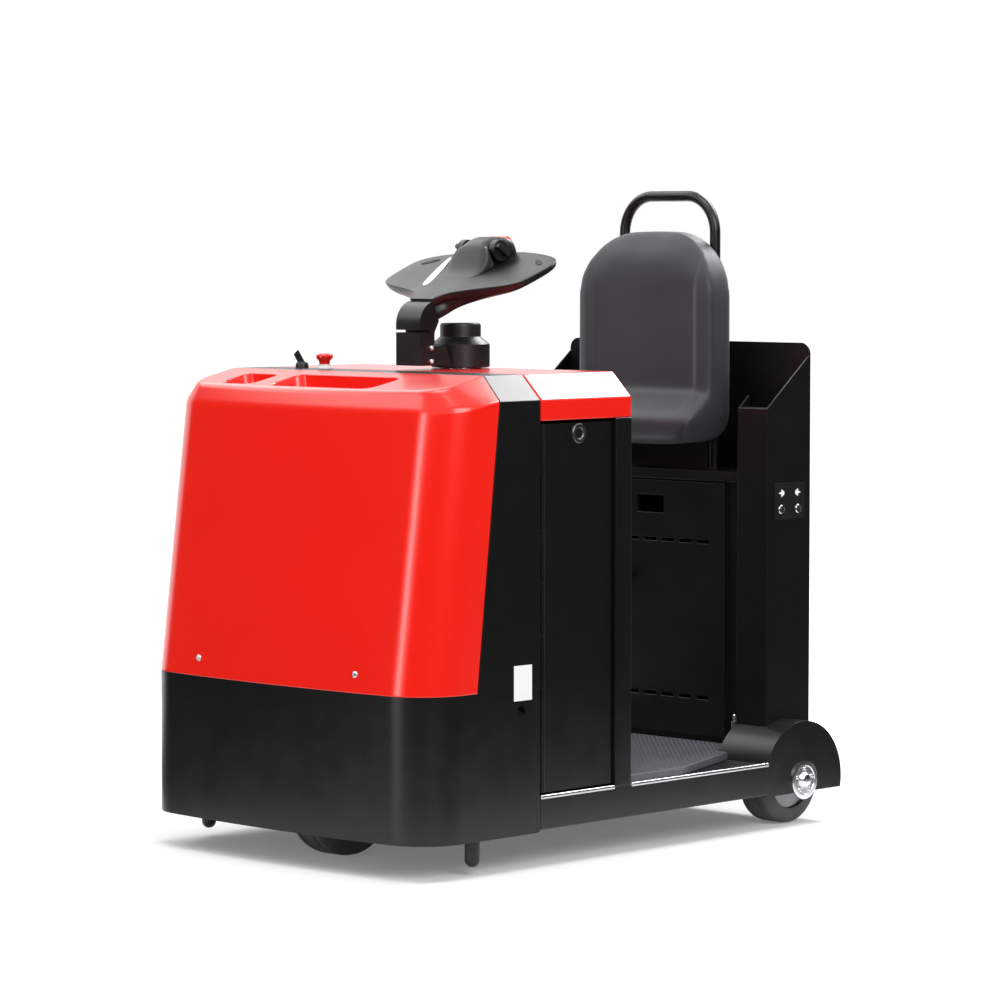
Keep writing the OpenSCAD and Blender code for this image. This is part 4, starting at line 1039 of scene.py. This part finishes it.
pad_bm.normal_update()
for vert in pad_bm.verts:
    roll_back = max(0, (vert.co.z - (seat_high.z - TOP_ROLL)) / TOP_ROLL)
    depth_share = min(1, max(0, (seat_high.y - vert.co.y) / BACK_THICK))
    vert.co.y += TOP_BACK * roll_back ** 2 * depth_share
    if vert.normal.y > FRONT_FACING:
        continue
    below_top = soft_step(seat_high.z - vert.co.z, *TOP_FADE)
    border = BORDER_W - BORDER_LESS * (1 - below_top)
    inside = soft_step(seat_half - abs(vert.co.x), border, border + BORDER_SOFT)
    above_ledge = soft_step(vert.co.z, seat_low.z + LEDGE_LOW, seat_low.z + LEDGE_HIGH)
    vert.co.y += BUCKET_D * inside * below_top * above_ledge
smooth_skin(pad_bm, 0.4, 2)
pad_lows = [min(v.co[i] for v in pad_bm.verts) for i in range(3)]
pad_highs = [max(v.co[i] for v in pad_bm.verts) for i in range(3)]
fit = [(seat_high[i] - seat_low[i]) / (pad_highs[i] - pad_lows[i]) for i in range(3)]
bmesh.ops.translate(pad_bm, verts=pad_bm.verts, vec=-(Vector(pad_lows) + Vector(pad_highs)) / 2)
bmesh.ops.scale(pad_bm, verts=pad_bm.verts, vec=fit)
bmesh.ops.translate(pad_bm, verts=pad_bm.verts, vec=seat_middle)
print("pad fitted by", [round(f, 3) for f in fit])
seat_pad = make_piece("seat_pad", pad_bm, "chassis", seat_cover, ["seat_cushion"], sharp=180,
                      flat=False)
add_smoothing(seat_pad, 1)
print("seat pad", len(seat_pad.data.polygons), "faces")

# %% [markdown]
# Small fittings: button-head screws and bolts, a blank plate above the lifting hole, a bright
# steel strip along the sills that paints the highlight of the sills' glossy top edge, latches and a
# knob on the rear panel, and the inching buttons with their arrow marks. The screws of one place share one
# mesh.

# %% Screws
HOOD_SCREW_X, HOOD_SCREW_Z, PANEL_LIP, PANEL_BOLT_X = 0.215, 0.374, 0.004, 0.238
PANEL_BOLT_ROWS, KNOB_X, KNOB_Z = (0.20, 0.31, 0.42, 0.53, 0.64), -0.053, 0.483
CLAMP_Y, CLAMP_ROWS = -0.239, (0.938, 0.964)
panel_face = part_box("rear_panel")[1].y - PANEL_LIP
neck_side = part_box("steering_arm")[1].x * NECK_WIDER


def make_screws(name, body, spots, r, h):
    """Button-head screws with a round recess, sunk a little into what carries them."""
    bm = bmesh.new()
    for place, axis in spots:
        turn(bm, [(-0.001, 0), (-0.001, r), (h * 0.35, r), (h * 0.75, r * 0.86), (h, r * 0.55),
                  (h * 0.45, r * 0.42), (h * 0.45, 0)], place, axis, 14)
    make_piece(name, bm, body, bright_steel)
    print(name, len(spots))


hood_tree = BVHTree.FromObject(hood, bpy.context.evaluated_depsgraph_get())
make_screws("hood_screws", "chassis",
            [hood_tree.ray_cast(Vector((x, -1, HOOD_SCREW_Z)), Vector((0, 1, 0)))[:2]
             for x in (-HOOD_SCREW_X, HOOD_SCREW_X)], 0.0065, 0.004)
make_screws("panel_bolts", "chassis", [((side * PANEL_BOLT_X, panel_face, z), (0, -1, 0))
                                       for side in (-1, 1) for z in PANEL_BOLT_ROWS], 0.006, 0.004)
knob_bm = bmesh.new()
turn(knob_bm, [(-0.001, 0), (-0.001, 0.010), (0.004, 0.010), (0.006, 0.007), (0.010, 0.0065),
               (0.012, 0.009), (0.017, 0.0095), (0.019, 0.0075), (0.019, 0)],
     (KNOB_X, panel_face, KNOB_Z), (0, -1, 0), 24)
make_piece("panel_knob", knob_bm, "chassis", black_plastic)
make_screws("clamp_bolts", "steering", [((side * neck_side, CLAMP_Y, z), (side, 0, 0))
                                        for side in (-1, 1) for z in CLAMP_ROWS], 0.0055, 0.005)

# %% Blank plate, sill strip with painted highlight, and inching buttons
PLATE_LOW, PLATE_HIGH, LATCH_X, LATCH_HALF, LATCH_T = (-0.381, 0.318), (-0.333, 0.384), 0.228, 0.006, 0.009
LATCH_LOW, LATCH_HIGH, PANEL_MARGIN, PANEL_TALL = 0.166, 0.198, 0.012, 0.062
BUTTON_R, ARROW_UP, MARK_UP, ARROW_T = 0.009, 0.042, 0.0014, 0.0005


def add_side_slab(bm, side, x, sunk, proud, low, high, soft, segments=2):
    """A slab on an upright side face, from a little inside it to a little proud of it."""
    ends = sorted((side * (x - sunk), side * (x + proud)))
    add_slab(bm, (ends[0], *low), (ends[1], *high), soft, segments)


def add_plate(bm, points, step):
    """A thin plate: a flat outline, drawn out by a step."""
    flat = [bm.verts.new(point) for point in points]
    face = bmesh.ops.contextual_create(bm, geom=flat)["faces"]
    drawn = bmesh.ops.extrude_face_region(bm, geom=face)["geom"]
    bmesh.ops.translate(bm, verts=[g for g in drawn if isinstance(g, bmesh.types.BMVert)], vec=step)
    bmesh.ops.recalc_face_normals(bm, faces=bm.faces)


side_x, shell_x = cad_high.x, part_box("rear_shell")[1].x
sill_low, sill_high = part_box("side_sills")
post_low, post_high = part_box("bay_frame")
low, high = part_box("inching_buttons")
for side, name in ((1, "left"), (-1, "right")):
    plate_bm = bmesh.new()
    add_side_slab(plate_bm, side, side_x, 0.0004, 0.0012, PLATE_LOW, PLATE_HIGH, 0.0005)
    make_piece(name + "_blank_plate", plate_bm, "chassis", white_enamel)
    latch_bm = bmesh.new()
    latch_x = side * LATCH_X
    add_slab(latch_bm, (latch_x - LATCH_HALF, panel_face - LATCH_T, LATCH_LOW),
             (latch_x + LATCH_HALF, panel_face, LATCH_HIGH), 0.002)
    turn(latch_bm, [(-0.002, 0), (-0.002, 0.004), (0.012, 0.004), (0.014, 0.0025), (0.014, 0)],
         (latch_x, panel_face - LATCH_T / 2, LATCH_HIGH), (0, 0, 1), 16)
    make_piece(name + "_panel_latch", latch_bm, "chassis", bright_steel)

    # A bright steel strip on the sill's top edge: a painted highlight for the light on the sill's glossy
    # rounded edge.
    sill_highlight_bm = bmesh.new()
    for start, end in ((sill_low.y + 0.002, post_low.y - 0.001), (post_high.y + 0.001, ARCH_FRONT + 0.006)):
        add_side_slab(sill_highlight_bm, side, side_x, 0.0045, 0.0012, (start, sill_high.z - 0.0055),
                      (end, sill_high.z + 0.0025), 0.0024, 3)
    make_piece(name + "_sill_highlight_strip", sill_highlight_bm, "chassis", bright_steel)

    recess_bm = bmesh.new()
    add_side_slab(recess_bm, side, shell_x, 0.0005, 0.0015, (low.y - PANEL_MARGIN, low.z - PANEL_MARGIN),
                  (high.y + PANEL_MARGIN, low.z + PANEL_TALL), 0.0007)
    make_piece(name + "_button_panel", recess_bm, "chassis", black_plastic)
    mark_bm = bmesh.new()
    button_bm = bmesh.new()
    for tip, y in ((-0.009, low.y + BUTTON_R), (0.009, high.y - BUTTON_R)):
        turn(button_bm, [(0, 0), (0, BUTTON_R), (0.0025, BUTTON_R), (0.004, 0.0078), (0.0045, 0.006),
                         (0.0038, 0)], (side * shell_x, y, (low.z + high.z) / 2), (side, 0, 0), 28)
        arrow = [(tip, 0), (0, 0.008), (0, 0.003), (-tip, 0.003), (-tip, -0.003), (0, -0.003), (0, -0.008)]
        outline = [(side * (shell_x + MARK_UP), y + a, low.z + ARROW_UP + b) for a, b in arrow]
        add_plate(mark_bm, outline, (side * ARROW_T, 0, 0))
    make_piece(name + "_arrow_marks", mark_bm, "chassis", white_enamel, flat=False)
    nodes = ["inching_buttons"] if side > 0 else []
    make_piece(name + "_inching_caps", button_bm, "chassis", bright_steel, nodes)
print("plates, highlight_strips and buttons on both sides")

# %% [markdown]
# Behind the doors stands the traction battery. The picture doesn't show it, so its fittings
# are a guess from the type: six cells with two filler caps each, links that join the cells in
# a row, and lifting rings near the top edge, so an open door shows more than a bare block.

# %% Battery fittings
CELLS, LINK_HALF, LINK_T, RING_DOWN = 6, 0.011, 0.005, 0.045
battery_low, battery_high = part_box("battery")
battery_size = battery_high - battery_low
cell_w = battery_size.x / CELLS
cap_bm, link_bm, ring_bm = bmesh.new(), bmesh.new(), bmesh.new()
for cell in range(CELLS):
    x = battery_low.x + cell_w * (cell + 0.5)
    for share in (0.34, 0.66):
        turn(cap_bm, [(-0.001, 0), (-0.001, 0.017), (0.006, 0.017), (0.008, 0.0155), (0.008, 0.0125),
                      (0.014, 0.0115), (0.016, 0.0095), (0.016, 0)],
             (x, battery_low.y + battery_size.y * share, battery_high.z), (0, 0, 1), 24)
    if cell < CELLS - 1:
        y = battery_low.y + battery_size.y * (0.85 if cell % 2 else 0.15)
        add_slab(link_bm, (x + cell_w * 0.2, y - LINK_HALF, battery_high.z - 0.0005),
                 (x + cell_w * 0.8, y + LINK_HALF, battery_high.z + LINK_T), 0.0015)
for side in (-1, 1):
    for share in (0.2, 0.8):
        y = battery_low.y + battery_size.y * share
        turn(ring_bm, [(-0.001, 0.013), (-0.001, 0.022), (0.002, 0.022), (0.0032, 0.020), (0.0032, 0.0155),
                       (0.002, 0.013), (-0.001, 0.013)],
             (side * battery_high.x, y, battery_high.z - RING_DOWN), (side, 0, 0), 32)
make_piece("battery_caps", cap_bm, "chassis", mat_rubber)
make_piece("battery_links", link_bm, "chassis", lock_steel)
make_piece("battery_rings", ring_bm, "chassis", lock_steel)
print("battery fittings on", CELLS, "cells")

# %% [markdown]
# Last come the pale slash on the steering head and a dark matte oval in the thumb dip near each
# wing's rear edge, which is painted shade for the shadow in that dip. They are thin plates, drawn flat and
# then laid into the head's tilted frame.

# %% Slash and painted shade ovals on the steering head
SLASH_FROM, SLASH_TO, SLASH_HALF = Vector((-0.052, 0.066)), Vector((-0.113, 0.212)), 0.0085
SLASH_SIDE = [(0, 0.25), (0.06, 0.85), (0.2, 1), (0.6, 0.95), (0.9, 0.55), (1, 0.1)]
MARK_SUNK, SLASH_PROUD, SHADE_OVAL_PROUD = 0.0004, 0.0008, 0.0010
SHADE_OVAL_X, SHADE_OVAL_Y, SHADE_OVAL_LONG, SHADE_OVAL_WIDE, SHADE_OVAL_STEPS = 0.148, 0.188, 0.020, 0.006, 24
TURN_COS, TURN_SIN = 0.8, 0.6


def flat_mark(bm, outline, proud):
    """A thin plate with the given outline, laid on the top of the head."""
    add_plate(bm, [(x, y, -MARK_SUNK) for x, y in outline], (0, 0, proud + MARK_SUNK))


across = (SLASH_TO - SLASH_FROM).orthogonal().normalized() * SLASH_HALF
right_side = [SLASH_FROM.lerp(SLASH_TO, along) + across * wide for along, wide in SLASH_SIDE]
left_side = [SLASH_FROM.lerp(SLASH_TO, along) - across * wide for along, wide in reversed(SLASH_SIDE)]
slash_bm = bmesh.new()
flat_mark(slash_bm, right_side + left_side, SLASH_PROUD)
bmesh.ops.transform(slash_bm, matrix=HEAD_FRAME, verts=slash_bm.verts)
make_piece("head_slash", slash_bm, "steering", white_enamel, flat=False)
angles = [2 * math.pi * i / SHADE_OVAL_STEPS for i in range(SHADE_OVAL_STEPS)]
oval = [(SHADE_OVAL_LONG * math.cos(a), SHADE_OVAL_WIDE * math.sin(a)) for a in angles]
# Dark matte ovals in the thumb dips: painted shade, not a part of the head.
shade_oval_bm = bmesh.new()
for side in (-1, 1):
    ring = [(side * (SHADE_OVAL_X + TURN_COS * x + TURN_SIN * y), SHADE_OVAL_Y - TURN_SIN * x + TURN_COS * y)
            for x, y in oval]
    flat_mark(shade_oval_bm, ring, SHADE_OVAL_PROUD)
bmesh.ops.transform(shade_oval_bm, matrix=HEAD_FRAME, verts=shade_oval_bm.verts)
make_piece("head_inserts", shade_oval_bm, "steering", tyre_rubber, flat=False)
print("slash and painted_shade_ovals on the head")

low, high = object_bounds()
